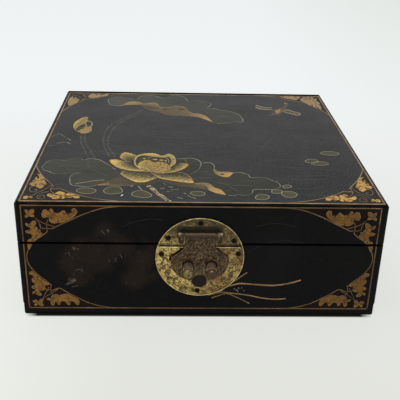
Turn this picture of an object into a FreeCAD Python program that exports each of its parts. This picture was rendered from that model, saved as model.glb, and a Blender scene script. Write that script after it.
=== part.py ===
"""Square black lacquered box with a hinged lid and a round split lock plate.

Millimetres. The origin is the centre of the bottom face, the front faces -Y and +Z is up.
The carcase is made of boards with finger joints at the corners, closed by a bottom board and a
lid panel on blind dowels. Two butt hinges sit in the back rims, and a brass plate in two halves
carries the hasp, which drops over two studs that take a lock bar.
"""

import FreeCAD, Part
import math
import os
import re
import Sketcher

Vector = FreeCAD.Vector
ALONG_X = FreeCAD.Rotation(Vector(0, 1, 0), 90)
OUT_OF_FRONT = FreeCAD.Rotation(Vector(1, 0, 0), 90)
INTO_FRONT = FreeCAD.Rotation(Vector(1, 0, 0), -90)
DOWNWARD = FreeCAD.Rotation(Vector(1, 0, 0), 180)

# Driving sizes of the whole box, its boards, the lock and the hinges

SIZES = {
    # carcase
    "box_width": 300,
    "box_depth": 310,
    "box_height": 105,
    "seam_share": 0.6619,
    "seam_gap": 0.4,
    "wall_thickness": 9,
    "board_thickness": 11.5,
    "board_inset": 0.4,
    "panel_thickness": 8,
    "corner_radius": 1.8,
    "rim_radius": 0.7,
    "top_edge_radius": 1.2,
    "base_fingers": 5,
    "lid_fingers": 3,
    # blind dowels that hold the bottom board and the lid panel
    "dowel_radius": 1.5,
    "dowel_depth": 5.5,
    "dowel_place_share": 0.3,
    # bevel along the back edges, which lets the lid lean back and stops it
    "bevel_depth": 3.6,
    "bevel_rise": 4.6,
    "overrun": 2,
    # butt hinges
    "hinge_place_share": 0.2833,
    "hinge_length": 45,
    "knuckle_count": 5,
    "knuckle_radius": 1.9,
    "knuckle_gap": 0.3,
    "leaf_width": 5,
    "leaf_thickness": 1,
    "hinge_pin_radius": 0.9,
    "pin_play": 0.05,
    "screw_head_radius": 1.25,
    "screw_head_height": 0.8,
    "screw_radius": 0.65,
    "screw_length": 7,
    "screw_spread": 15,
    "screw_slot_width": 0.4,
    "screw_slot_depth": 0.35,
    # round lock plate, centred a little left of the middle
    "lock_offset": -1.7,
    "lock_drop": 12.1,
    "plate_radius": 36.5,
    "plate_thickness": 1.2,
    "plate_rim_width": 1,
    "plate_rim_height": 0.5,
    "nail_inset": 4.7,
    "nail_head_radius": 1.7,
    "nail_head_height": 0.8,
    "nail_radius": 0.7,
    "nail_length": 7,
    # studs that pass through the hasp and take the lock bar
    "stud_spread": 9.6,
    "stud_drop": 30.3,
    "stud_radius": 4.15,
    "stud_length": 13,
    "stud_nose": 2.6,
    "stud_shank_radius": 1.6,
    "lock_bar_radius": 2.6,
    "lock_bar_out": 10.2,
    "stud_wall": 6.4,
    "stud_flat_radius": 3,
    # washers and riveted ends on the inside of the front
    "washer_radius": 4,
    "washer_thickness": 0.8,
    "rivet_end_spare": 0.9,
    "rivet_end_height": 1,
    # eyes on the lid that hold the hasp's pin
    "eye_spread": 15.6,
    "eye_width": 4.6,
    "eye_play": 0.6,
    "eye_foot_margin": 0.9,
    "eye_foot_thickness": 1,
    "eye_shank_radius": 1.2,
    "hasp_pin_radius": 1.1,
    "pin_head_radius": 1.8,
    "pin_head_height": 1.2,
    # hasp, drawn below its hinge axis
    "hasp_axis_rise": 10.3,
    "hasp_axis_out": 3.7,
    "barrel_radius": 2.1,
    "hasp_back_out": 1.8,
    "hasp_thickness": 1.6,
    "neck_drop": 10.2,
    "shoulder_radius": 10.5,
    "wing_half": 23.2,
    "wing_drop": 19.9,
    "lobe_radius": 17.8,
    "foot_half": 12,
    "foot_drop": 41.6,
    "tab_half": 6.2,
    "tab_start_drop": 42.6,
    "tab_radius": 6.4,
    "hasp_length": 49.6,
    "tab_boss_drop": 43.6,
    "tab_boss_radius": 5.4,
    "tab_boss_height": 0.9,
    "stud_hole_play": 0.5,
    "stud_hole_top_drop": 23.8,
    "stud_hole_bottom_drop": 36.7,
    "ring_upper_drop": 16.5,
    "ring_lower_drop": 33.4,
    "ring_radius": 2.2,
    "ring_height": 0.6,
    "ring_dish_radius": 1.3,
    "ring_shank_radius": 1,
}

# Nails on the plate, as angles in degrees round its centre
UPPER_NAIL_ANGLES = (90, 145, 30)
LOWER_NAIL_ANGLES = (174, 7, 267)

doc = FreeCAD.newDocument("lacquer_box")
sheet = doc.addObject("Spreadsheet::Sheet", "Sizes")
for row, (alias, number) in enumerate(SIZES.items(), start=1):
    sheet.set(f"A{row}", alias)
    sheet.set(f"B{row}", str(number))
    sheet.setAlias(f"B{row}", alias)
doc.recompute()

ALIAS = re.compile(r"\b(" + "|".join(sorted(SIZES, key=len, reverse=True)) + r")\b")
pieces = {}


# Places that several pieces share, written with the sheet's names

FRONT = "(-box_depth / 2)"
INSIDE_FRONT = "(-box_depth / 2 + wall_thickness)"
SEAM = "(box_height * seam_share)"
BASE_RIM = f"({SEAM} - seam_gap / 2)"
LID_RIM = f"({SEAM} + seam_gap / 2)"
PANEL_UNDERSIDE = "(box_height - panel_thickness)"
HINGE_Y = "(box_depth / 2 - bevel_depth)"
PLATE_FACE = "(-box_depth / 2 - plate_thickness)"
LOCK_Z = f"({SEAM} - lock_drop)"
HASP_AXIS_Y = "(-box_depth / 2 - hasp_axis_out)"
HASP_AXIS_Z = f"({SEAM} + hasp_axis_rise)"
STUD_Z = f"({HASP_AXIS_Z} - stud_drop)"
BARREL_HALF = "(eye_spread - eye_width / 2 - eye_play)"


# Helpers: expressions, primitives, booleans and sketches

def bound(text):
    """An expression in which each size is a reference to the sheet."""
    return ALIAS.sub(r"Sizes.\1", str(text))


def amount(text):
    """What an expression comes to now, as a plain number."""
    return float(sheet.evalExpression(bound(text)))


def place(thing, x="0", y="0", z="0", turn=FreeCAD.Rotation()):
    """Turn an object, and bind where it stands to the sheet."""
    thing.Placement = FreeCAD.Placement(Vector(0, 0, 0), turn)
    for axis, text in zip("xyz", (x, y, z)):
        thing.setExpression("Placement.Base." + axis, bound(text))
    return thing


def solid(kind, name, sizes, x="0", y="0", z="0", turn=FreeCAD.Rotation()):
    """A primitive whose sizes and place are bound to the sheet."""
    thing = doc.addObject("Part::" + kind, name)
    for prop, text in sizes.items():
        thing.setExpression(prop, bound(text))
    return place(thing, x, y, z, turn)


def block(name, length, width, height, x, y, z):
    return solid("Box", name, {"Length": length, "Width": width, "Height": height}, x, y, z)


def rod(name, radius, height, x, y, z, turn=FreeCAD.Rotation()):
    return solid("Cylinder", name, {"Radius": radius, "Height": height}, x, y, z, turn)


def dome(name, radius, height, x, y, z, turn=FreeCAD.Rotation()):
    """Half an ellipsoid, flat side down before it is turned."""
    sizes = {"Radius1": height, "Radius2": radius, "Radius3": radius}
    thing = solid("Ellipsoid", name, sizes, x, y, z, turn)
    thing.Angle1 = 0
    return thing


def fuse(name, *things):
    whole = doc.addObject("Part::MultiFuse", name)
    whole.Shapes = list(things)
    return whole


def cut(name, thing, *tools):
    result = doc.addObject("Part::Cut", name)
    result.Base = thing
    result.Tool = tools[0] if len(tools) == 1 else fuse(name + "_tools", *tools)
    return result


def common(name, thing, other):
    result = doc.addObject("Part::Common", name)
    result.Base = thing
    result.Tool = other
    return result


def group(name, *things):
    whole = doc.addObject("Part::Compound", name)
    whole.Links = list(things)
    return whole


def piece(name, thing, solids=1):
    """Name a finished sub-part, with the number of separate solids in it."""
    thing.Label = name
    pieces[name] = (thing, solids)
    return thing


def origin_plane(body, role):
    return next(f for f in body.Origin.OriginFeatures if f.Role == role)


def new_sketch(body, name, role, offset="0"):
    """A sketch on one of the body's own planes, moved along that plane's normal."""
    sketch = body.newObject("Sketcher::SketchObject", name)
    sketch.AttachmentSupport = [(origin_plane(body, role), "")]
    sketch.MapMode = "FlatFace"
    sketch.setExpression("AttachmentOffset.Base.z", bound(offset))
    return sketch


def pin_point(sketch, geometry, end, x, y):
    """Hold one point of a sketch at a place that is bound to the sheet."""
    for kind, text, axis_line in (("DistanceX", x, -2), ("DistanceY", y, -1)):
        if text == "0":
            sketch.addConstraint(Sketcher.Constraint("PointOnObject", geometry, end, axis_line))
            continue
        held = Sketcher.Constraint(kind, -1, 1, geometry, end, amount(text))
        number = sketch.addConstraint(held)
        sketch.setExpression(f"Constraints[{number}]", bound(text))


def arc_between(here, there, radius, side):
    """The shorter arc between two points, drawn anticlockwise. It bulges to the left of the way
    from here to there where side is 1, and to the right where it is -1. Also returns which of its
    ends, 1 or 2, lies at each point."""
    chord = there - here
    left = Vector(-chord.y, chord.x, 0).normalize() * side
    centre = (here + there) / 2 - left * math.sqrt(radius**2 - (chord.Length / 2) ** 2)
    first, last = (there, here) if side > 0 else (here, there)
    start, stop = (math.atan2((p - centre).y, (p - centre).x) for p in (first, last))
    if stop < start:
        stop += math.tau
    arc = Part.ArcOfCircle(Part.Circle(centre, Vector(0, 0, 1), radius), start, stop)
    return arc, ((2, 1) if side > 0 else (1, 2))


def draw_outline(sketch, points):
    """A closed outline. A point is (x, y) where a line leaves it, or (x, y, radius) where an arc
    does: the arc bulges to the left of the way to the next point, or to the right with a minus."""
    corners = [Vector(amount(p[0]), amount(p[1]), 0) for p in points]
    ends = []
    for index, point in enumerate(points):
        here, there = corners[index], corners[(index + 1) % len(points)]
        if len(point) == 2:
            line, order = Part.LineSegment(here, there), (1, 2)
        else:
            side = -1 if point[2].startswith("-") else 1
            line, order = arc_between(here, there, amount(point[2].lstrip("-")), side)
        sketch.addGeometry(line, False)
        ends.append(order)
    for index, point in enumerate(points):
        after = (index + 1) % len(points)
        joined = Sketcher.Constraint("Coincident", index, ends[index][1], after, ends[after][0])
        sketch.addConstraint(joined)
        pin_point(sketch, index, ends[index][0], point[0], point[1])
        if len(point) == 3:
            radius = point[2].lstrip("-")
            number = sketch.addConstraint(Sketcher.Constraint("Radius", index, amount(radius)))
            sketch.setExpression(f"Constraints[{number}]", bound(radius))


def draw_circle(sketch, x, y, radius):
    centre = Vector(amount(x), amount(y), 0)
    circle = Part.Circle(centre, Vector(0, 0, 1), amount(radius))
    number = sketch.addGeometry(circle, False)
    pin_point(sketch, number, 3, x, y)
    held = sketch.addConstraint(Sketcher.Constraint("Radius", number, amount(radius)))
    sketch.setExpression(f"Constraints[{held}]", bound(radius))


def pad(body, name, sketch, length, symmetric=False):
    feature = body.newObject("PartDesign::Pad", name)
    feature.Profile = sketch
    if symmetric:
        feature.SideType = "Symmetric"
    feature.setExpression("Length", bound(length))
    return feature


def edge_names(shape, wanted):
    """Names of the edges whose lowest and highest corners pass a test."""
    names = []
    for number, edge in enumerate(shape.Edges, start=1):
        bounds = edge.BoundBox
        if wanted(bounds):
            names.append(f"Edge{number}")
    return names


def rounded_block(name, length, width, height, z, rounded_levels):
    """A block centred on the axis, its upright edges rounded, and its edges at some levels too.
    rounded_levels holds pairs of a level and the radius there."""
    body = doc.addObject("PartDesign::Body", name)
    base = body.newObject("PartDesign::AdditiveBox", name + "_block")
    for prop, text in (("Length", length), ("Width", width), ("Height", height)):
        base.setExpression(prop, bound(text))
    place(base, f"-({length}) / 2", f"-({width}) / 2", z)
    doc.recompute()
    last = round_edges(body, base, "corner_radius", lambda b: b.ZLength > amount(height) / 2)
    for level, radius in rounded_levels:
        at = amount(level)
        slack = amount("overrun") / amount("box_width")
        last = round_edges(body, last, radius, lambda b: abs(b.ZMin - at) + abs(b.ZMax - at) < slack)
    return body


def round_edges(body, feature, radius, wanted):
    doc.recompute()
    fillet = body.newObject("PartDesign::Fillet", feature.Name + "_round")
    fillet.Base = (feature, edge_names(feature.Shape, wanted))
    fillet.setExpression("Radius", bound(radius))
    doc.recompute()
    return fillet


# Carcase: four finger-jointed walls for the base and four for the lid

def finger_gaps(name, bottom, top, count, parity):
    """Blocks at the box corners that clear one set of fingers from a wall."""
    step = f"(({top}) - {bottom}) / {count}"
    ends = ("-box_width / 2", "box_width / 2 - wall_thickness")
    sides = ("-box_depth / 2", "box_depth / 2 - wall_thickness")
    gaps = [block(name + "_gap", "wall_thickness", "wall_thickness", step, x, y,
                  f"{bottom} + {index} * ({step})")
            for index in range(parity, int(amount(count)), 2) for x in ends for y in sides]
    return group(name + "_gaps", *gaps)


def corner_walls(name, bottom, top, count, envelope):
    """Front, back, left and right walls between two levels. Front and back keep the outer
    fingers, so the lowest and the highest belong to them."""
    height = f"{top} - {bottom}"
    long_gaps = finger_gaps(name + "_odd", bottom, top, count, 1)
    side_gaps = finger_gaps(name + "_even", bottom, top, count, 0)
    raw = {
        "front": block(name + "_front_raw", "box_width", "wall_thickness", height,
                       "-box_width / 2", "-box_depth / 2", bottom),
        "back": block(name + "_back_raw", "box_width", "wall_thickness", height,
                      "-box_width / 2", "box_depth / 2 - wall_thickness", bottom),
        "left": block(name + "_left_raw", "wall_thickness", "box_depth", height,
                      "-box_width / 2", "-box_depth / 2", bottom),
        "right": block(name + "_right_raw", "wall_thickness", "box_depth", height,
                       "box_width / 2 - wall_thickness", "-box_depth / 2", bottom),
    }
    walls = {}
    for side, wall in raw.items():
        gaps = long_gaps if side in ("front", "back") else side_gaps
        fingered = cut(f"{name}_{side}_fingered", wall, gaps)
        walls[side] = common(f"{name}_{side}_rounded", fingered, envelope)
    return walls


def dowels(name, level):
    """Eight blind dowels round the walls, half their length to each side of a level."""
    wall_middle_x = "(box_width / 2 - wall_thickness / 2)"
    wall_middle_y = "(box_depth / 2 - wall_thickness / 2)"
    places = []
    for sign in ("-", ""):
        for other in ("-", ""):
            places.append((f"{other}box_width * dowel_place_share", sign + wall_middle_y))
            places.append((sign + wall_middle_x, f"{other}box_depth * dowel_place_share"))
    rods = [rod(name + "_rod", "dowel_radius", "2 * dowel_depth", x, y, f"{level} - dowel_depth")
            for x, y in places]
    return piece(name, group(name, *rods), len(rods))


base_envelope = rounded_block("base_envelope", "box_width", "box_depth",
                              f"{BASE_RIM} - board_thickness", "board_thickness",
                              [("board_thickness", "rim_radius"), (BASE_RIM, "rim_radius")])
lid_envelope = rounded_block("lid_envelope", "box_width", "box_depth",
                             f"{PANEL_UNDERSIDE} - {LID_RIM}", LID_RIM, [(LID_RIM, "rim_radius")])
bottom_blank = rounded_block("bottom_blank", "box_width - 2 * board_inset",
                             "box_depth - 2 * board_inset", "board_thickness", "0",
                             [("0", "corner_radius"), ("board_thickness", "rim_radius")])
panel_blank = rounded_block("panel_blank", "box_width", "box_depth", "panel_thickness",
                            PANEL_UNDERSIDE, [("box_height", "top_edge_radius")])
base_walls = corner_walls("base", "board_thickness", BASE_RIM, "base_fingers", base_envelope)
lid_walls = corner_walls("lid", LID_RIM, PANEL_UNDERSIDE, "lid_fingers", lid_envelope)
bottom_dowels = dowels("bottom_dowels", "board_thickness")
panel_dowels = dowels("panel_dowels", PANEL_UNDERSIDE)
piece("bottom_board", cut("bottom_drilled", bottom_blank, bottom_dowels))
piece("lid_top_panel", cut("panel_drilled", panel_blank, panel_dowels))


# Bevel: a shallow V along the back seam, its point on the hinge axis

bevel = doc.addObject("PartDesign::Body", "back_bevel")
bevel_outline = new_sketch(bevel, "bevel_outline", "YZ_Plane")
bevel_mouth = "(bevel_rise * (bevel_depth + overrun) / bevel_depth)"
draw_outline(bevel_outline, [
    (HINGE_Y, SEAM),
    ("box_depth / 2 + overrun", f"{SEAM} - {bevel_mouth}"),
    ("box_depth / 2 + overrun", f"{SEAM} + {bevel_mouth}"),
])
pad(bevel, "bevel_pad", bevel_outline, "box_width + 2 * overrun", symmetric=True)


# Hinges: two leaves, a pin and six screws each, let into the back rims

SEGMENT = "(hinge_length / knuckle_count)"


def knuckles(name, centre, radius, parity, spare):
    """Barrel lengths of one leaf along the hinge axis, each longer by spare at both ends."""
    parts = []
    for index in range(parity, int(amount("knuckle_count")), 2):
        start = f"{centre} - hinge_length / 2 + {index} * {SEGMENT} - {spare}"
        parts.append(rod(name, radius, f"{SEGMENT} + 2 * {spare}", start, HINGE_Y, SEAM,
                         ALONG_X))
    return parts


def screw_places(centre):
    return [f"{centre} + {step} * screw_spread" for step in (-1, 0, 1)]


def screws(name, centre, level, turn):
    """Countersunk screws through one leaf. Their slot lies along the hinge."""
    row = f"({HINGE_Y} - (leaf_width + knuckle_radius + knuckle_gap) / 2)"
    up = turn.multVec(Vector(0, 0, 1)).z > 0
    made = []
    for x in screw_places(centre):
        head = solid("Cone", name + "_head", {
            "Radius1": "screw_head_radius", "Radius2": "screw_radius", "Height": "screw_head_height",
        }, x, row, level, turn)
        shank = rod(name + "_shank", "screw_radius", "screw_length", x, row, level, turn)
        slot_low = level if up else f"{level} - screw_slot_depth"
        slot = block(name + "_slot", "2 * screw_head_radius", "screw_slot_width",
                     "screw_slot_depth", f"{x} - screw_head_radius",
                     f"{row} - screw_slot_width / 2", slot_low)
        made.append((head, shank, slot))
    return made


def hinge(side, centre):
    """One butt hinge: returns what it cuts from the two back walls."""
    groove = rod(f"hinge_groove_{side}", "knuckle_radius + knuckle_gap",
                 "hinge_length + 2 * knuckle_gap",
                 f"{centre} - hinge_length / 2 - knuckle_gap", HINGE_Y, SEAM, ALONG_X)
    bore = rod(f"hinge_bore_{side}", "hinge_pin_radius + pin_play", "hinge_length + 2 * overrun",
               f"{centre} - hinge_length / 2 - overrun", HINGE_Y, SEAM, ALONG_X)
    piece(f"hinge_pin_{side}", rod(f"hinge_pin_{side}", "hinge_pin_radius", "hinge_length",
                                   f"{centre} - hinge_length / 2", HINGE_Y, SEAM, ALONG_X))
    cuts = {}
    for half, parity in (("base", 0), ("lid", 1)):
        level = BASE_RIM if half == "base" else LID_RIM
        low = f"{level} - leaf_thickness" if half == "base" else level
        turn = DOWNWARD if half == "base" else FreeCAD.Rotation()
        name = f"hinge_leaf_{half}_{side}"
        plate = block(name + "_plate", "hinge_length", "leaf_width", "leaf_thickness",
                      f"{centre} - hinge_length / 2", f"{HINGE_Y} - leaf_width", low)
        own = knuckles(name + "_knuckle", centre, "knuckle_radius", parity, "0")
        room = knuckles(name + "_room", centre, "knuckle_radius + knuckle_gap", 1 - parity,
                        "knuckle_gap")
        fasteners = screws(f"hinge_screw_{half}_{side}", centre, level, turn)
        bodies = [fuse(f"{name}_screw", head, shank) for head, shank, _ in fasteners]
        slotted = [cut(f"{name}_slotted", made, slot)
                   for made, (_, _, slot) in zip(bodies, fasteners)]
        leaf = cut(name, fuse(name + "_whole", plate, *own), bore, *room)
        piece(name, cut(name + "_holed", leaf, group(name + "_screw_group", *bodies)))
        cuts[half] = ([groove, plate], bodies, slotted)
    return cuts


hinges = {side: hinge(side, centre)
          for side, centre in (("left", "(-box_width * hinge_place_share)"),
                              ("right", "(box_width * hinge_place_share)"))}
for half in ("base", "lid"):
    slotted = [screw for side in hinges for screw in hinges[side][half][2]]
    piece(f"hinge_screws_{half}", group(f"hinge_screws_{half}", *slotted), len(slotted))


# Lock plate: one disc with a raised rim, cut in two along the seam

def nail_places(angles):
    circle = "(plate_radius - nail_inset)"
    return [(f"lock_offset + {circle} * cos({angle} deg)",
             f"{LOCK_Z} + {circle} * sin({angle} deg)") for angle in angles]


def nails(name, angles):
    """Small dome-headed nails: a node of separate solids."""
    made = []
    for x, z in nail_places(angles):
        head = dome(name + "_head", "nail_head_radius", "nail_head_height", x, PLATE_FACE, z,
                    OUT_OF_FRONT)
        shank = rod(name + "_shank", "nail_radius", "nail_length", x, PLATE_FACE, z, INTO_FRONT)
        made.append(fuse(name + "_nail", head, shank))
    return piece(name, group(name, *made), len(made))


def shank_through_front(name, radius, x, z, start=PLATE_FACE):
    """A stud's or an eye's shank, through plate and wall, riveted over on a washer inside.
    Returns the shank with its riveted end, and the washer."""
    end = f"({INSIDE_FRONT} + washer_thickness)"
    shank = rod(name + "_shank", radius, f"{end} - ({start})", x, start, z, INTO_FRONT)
    rivet = dome(name + "_rivet", f"{radius} + rivet_end_spare", "rivet_end_height", x, end, z,
                 INTO_FRONT)
    washer = cut(name + "_washer",
                 rod(name + "_washer_disc", "washer_radius", "washer_thickness", x, INSIDE_FRONT, z,
                     INTO_FRONT), shank)
    return [shank, rivet], washer


plate_disc = rod("plate_disc", "plate_radius", "plate_thickness", "lock_offset", FRONT,
                 LOCK_Z, OUT_OF_FRONT)
plate_rim = cut("plate_rim",
                rod("plate_rim_outer", "plate_radius", "plate_rim_height", "lock_offset",
                    PLATE_FACE, LOCK_Z, OUT_OF_FRONT),
                rod("plate_rim_inner", "plate_radius - plate_rim_width", "plate_rim_height",
                    "lock_offset", PLATE_FACE, LOCK_Z, OUT_OF_FRONT))
plate_whole = fuse("plate_whole", plate_disc, plate_rim)
plate_box_depth = "2 * (plate_thickness + plate_rim_height)"
plate_box_y = f"{FRONT} - ({plate_box_depth})"
upper_half = block("upper_half", "2 * plate_radius", plate_box_depth, "2 * plate_radius",
                   "lock_offset - plate_radius", plate_box_y, LID_RIM)
lower_half = block("lower_half", "2 * plate_radius", plate_box_depth, "2 * plate_radius",
                   "lock_offset - plate_radius", plate_box_y, f"{BASE_RIM} - 2 * plate_radius")
upper_nails = nails("lock_plate_nails_upper", UPPER_NAIL_ANGLES)
lower_nails = nails("lock_plate_nails_lower", LOWER_NAIL_ANGLES)


# Studs: round pegs with a cross hole for the lock bar

def stud(side, x):
    name = f"hasp_stud_{side}"
    peg = rod(name + "_peg", "stud_radius", "stud_length", x, PLATE_FACE, STUD_Z, OUT_OF_FRONT)
    nose = dome(name + "_nose", "stud_radius", "stud_nose", x, f"{PLATE_FACE} - stud_length",
                STUD_Z, OUT_OF_FRONT)
    shank, washer = shank_through_front(name, "stud_shank_radius", x, STUD_Z)
    bar_y = f"{FRONT} - lock_bar_out"
    bore = rod(name + "_bore", "lock_bar_radius", "4 * stud_radius", f"{x} - 2 * stud_radius",
               bar_y, STUD_Z, ALONG_X)
    flats = [rod(name + "_flat", "stud_flat_radius", "stud_radius", start, bar_y, STUD_Z,
                 ALONG_X)
             for start in (f"{x} - stud_wall / 2 - stud_radius", f"{x} + stud_wall / 2")]
    whole = fuse(name + "_whole", peg, nose, *shank)
    piece(name, cut(name, whole, bore, *flats))
    return shank[0], washer


stud_shanks, stud_washers = zip(*[stud(side, f"(lock_offset {sign} stud_spread)")
                                  for side, sign in (("left", "-"), ("right", "+"))])
piece("hasp_stud_washers", group("hasp_stud_washers", *stud_washers), 2)


# Eyes on the lid: rings for the hasp's pin, with a foot on the plate

def eye(side, centre):
    name = f"hasp_eye_{side}"
    ring_radius = "hasp_axis_out - plate_thickness"
    start = f"{centre} - eye_width / 2"
    ring = rod(name + "_ring", ring_radius, "eye_width", start, HASP_AXIS_Y, HASP_AXIS_Z, ALONG_X)
    foot_turn = f"({LID_RIM} + eye_foot_margin + eye_width / 2)"
    foot = block(name + "_foot", "eye_width", "eye_foot_thickness",
                 f"{HASP_AXIS_Z} - {foot_turn}", start, f"{PLATE_FACE} - eye_foot_thickness",
                 foot_turn)
    foot_end = rod(name + "_foot_end", "eye_width / 2", "eye_foot_thickness", centre, PLATE_FACE,
                   foot_turn, OUT_OF_FRONT)
    bore = rod(name + "_bore", "hasp_pin_radius + pin_play", "eye_width", start, HASP_AXIS_Y,
               HASP_AXIS_Z, ALONG_X)
    shank, washer = shank_through_front(name, "eye_shank_radius", centre, HASP_AXIS_Z,
                                        f"{PLATE_FACE} - eye_foot_thickness")
    piece(name, cut(name, fuse(name + "_whole", ring, foot, foot_end, *shank), bore))
    return shank[0], washer


eye_shanks, eye_washers = zip(*[eye(side, f"(lock_offset {sign} eye_spread)")
                                for side, sign in (("left", "-"), ("right", "+"))])
piece("hasp_eye_washers", group("hasp_eye_washers", *eye_washers), 2)

piece("lock_plate_upper", cut("plate_upper_holed", common("plate_upper", plate_whole, upper_half),
                              upper_nails, *eye_shanks))
piece("lock_plate_lower", cut("plate_lower_holed", common("plate_lower", plate_whole, lower_half),
                              lower_nails, *stud_shanks))

pin_half = "(eye_spread + eye_width / 2)"
hasp_pin = fuse("hasp_pin_whole",
                rod("hasp_pin_rod", "hasp_pin_radius", f"2 * {pin_half}",
                    f"lock_offset - {pin_half}", HASP_AXIS_Y, HASP_AXIS_Z, ALONG_X),
                dome("hasp_pin_head_right", "pin_head_radius", "pin_head_height",
                     f"lock_offset + {pin_half}", HASP_AXIS_Y, HASP_AXIS_Z, ALONG_X),
                dome("hasp_pin_head_left", "pin_head_radius", "pin_head_height",
                     f"lock_offset - {pin_half}", HASP_AXIS_Y, HASP_AXIS_Z,
                     FreeCAD.Rotation(Vector(0, 1, 0), -90)))
piece("hasp_hinge_pin", hasp_pin)


# Hasp: a winged plate below its barrel, in its own frame on the hinge axis

hasp = doc.addObject("PartDesign::Body", "hasp_body")
place(hasp, "lock_offset", HASP_AXIS_Y, HASP_AXIS_Z)
HASP_BACK = "hasp_back_out - hasp_axis_out"
hasp_outline = new_sketch(hasp, "hasp_outline", "XZ_Plane", HASP_BACK)
draw_outline(hasp_outline, [
    ("0", "0"),
    (BARREL_HALF, "0"),
    (BARREL_HALF, "-neck_drop", "-shoulder_radius"),
    ("wing_half", "-wing_drop", "lobe_radius"),
    ("foot_half", "-foot_drop"),
    ("tab_half", "-tab_start_drop", "tab_radius"),
    ("0", "-hasp_length"),
])
hasp_pad = pad(hasp, "hasp_pad", hasp_outline, "hasp_thickness")
doc.recompute()
mirrored = hasp.newObject("PartDesign::Mirrored", "hasp_mirror")
mirrored.Originals = [hasp_pad]
mirrored.MirrorPlane = (origin_plane(hasp, "YZ_Plane"), [""])
hasp.Tip = mirrored
doc.recompute()
barrel_circle = new_sketch(hasp, "barrel_circle", "YZ_Plane")
draw_circle(barrel_circle, "0", "0", "barrel_radius")
pad(hasp, "barrel_pad", barrel_circle, f"2 * {BARREL_HALF}", symmetric=True)
boss_circle = new_sketch(hasp, "tab_boss_circle", "XZ_Plane", f"{HASP_BACK} + hasp_thickness")
draw_circle(boss_circle, "0", "-tab_boss_drop", "tab_boss_radius")
pad(hasp, "tab_boss_pad", boss_circle, "tab_boss_height")
doc.recompute()


def stud_hole(side, sign):
    """A round-ended hole, tall enough for the hasp to swing off the stud."""
    centre = f"(lock_offset {sign} stud_spread)"
    radius = "(stud_radius + stud_hole_play)"
    start = f"{FRONT} + overrun"
    depth = "(hasp_axis_out + 2 * overrun)"
    low = f"({HASP_AXIS_Z} - stud_hole_bottom_drop + {radius})"
    high = f"({HASP_AXIS_Z} - stud_hole_top_drop - {radius})"
    ends = [rod(f"stud_hole_{side}_end", radius, depth, centre, start, z, OUT_OF_FRONT)
            for z in (low, high)]
    middle = block(f"stud_hole_{side}_middle", f"2 * {radius}", depth, f"{high} - {low}",
                   f"{centre} - {radius}", f"{start} - {depth}", low)
    return [*ends, middle]


def ring_rivet(name, drop):
    """A decorative rivet with a dished head, through the hasp."""
    face = f"({FRONT} - hasp_back_out - hasp_thickness)"
    level = f"{HASP_AXIS_Z} - {drop}"
    head = rod(name + "_head", "ring_radius", "ring_height", "lock_offset", face, level,
               OUT_OF_FRONT)
    dish = dome(name + "_dish", "ring_dish_radius", "ring_height / 2", "lock_offset",
                f"{face} - ring_height", level, INTO_FRONT)
    shank = rod(name + "_shank", "ring_shank_radius", "hasp_thickness", "lock_offset", face, level,
                INTO_FRONT)
    return cut(name, fuse(name + "_whole", head, shank), dish)


rings = [ring_rivet("ring_upper", "ring_upper_drop"), ring_rivet("ring_lower", "ring_lower_drop")]
hasp_rivets = piece("hasp_ring_rivets", group("hasp_ring_rivets", *rings), 2)
hasp_bore = rod("hasp_bore", "hasp_pin_radius + pin_play", f"2 * {BARREL_HALF} + 2 * overrun",
                f"lock_offset - {BARREL_HALF} - overrun", HASP_AXIS_Y, HASP_AXIS_Z, ALONG_X)
piece("hasp_plate", cut("hasp_holed", hasp, hasp_bore, hasp_rivets, *stud_hole("left", "-"),
                        *stud_hole("right", "+")))


# Finished walls: each loses what is let into it

base_hinge_cuts = [bevel]
lid_hinge_cuts = [bevel]
for side in hinges:
    for half, cuts in (("base", base_hinge_cuts), ("lid", lid_hinge_cuts)):
        recess, bodies, _ = hinges[side][half]
        cuts += [*recess, *bodies]
piece("base_front_wall", cut("base_front_done", base_walls["front"], lower_nails, bottom_dowels,
                             *stud_shanks))
piece("base_back_wall", cut("base_back_done", base_walls["back"], bottom_dowels, *base_hinge_cuts))
piece("lid_front_wall", cut("lid_front_done", lid_walls["front"], upper_nails, panel_dowels,
                            *eye_shanks))
piece("lid_back_wall", cut("lid_back_done", lid_walls["back"], panel_dowels, *lid_hinge_cuts))
for side in ("left", "right"):
    piece(f"base_{side}_wall", cut(f"base_{side}_done", base_walls[side], bottom_dowels))
    piece(f"lid_{side}_wall", cut(f"lid_{side}_done", lid_walls[side], panel_dowels))


# Check and write every sub-part

doc.recompute()
failed = [f"{thing.Label}: {thing.State}" for thing in doc.Objects
          if "Invalid" in thing.State or "Error" in thing.State]
for name, (thing, solids) in pieces.items():
    shape = thing.Shape
    if shape.isNull() or not shape.isValid():
        failed.append(f"{name}: null or invalid shape")
    elif len(shape.Solids) != solids:
        failed.append(f"{name}: {len(shape.Solids)} solids, {solids} wanted")
if failed:
    raise RuntimeError("\n".join(failed))

os.makedirs("parts", exist_ok=True)
for name, (thing, _) in pieces.items():
    thing.Shape.exportStep(f"parts/{name}.step")
    print(f"{name}: {len(thing.Shape.Solids)} solids, {thing.Shape.Volume:.1f} mm3")
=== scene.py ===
# %% [markdown]
# # A square lacquered box with a hinged lid
# The real box is made of thin boards coated with black lacquer and painted in gold. A round brass
# plate, cut in two at the seam, carries a hasp that drops over two studs. The CAD model already
# has every solid piece, so this lesson adds what a lacquerer, a gilder and an engraver would add.

# %% Load the frame
import math
import random

import bmesh
import bpy
from mathutils import Matrix, Vector
from mathutils.geometry import tessellate_polygon


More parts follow.
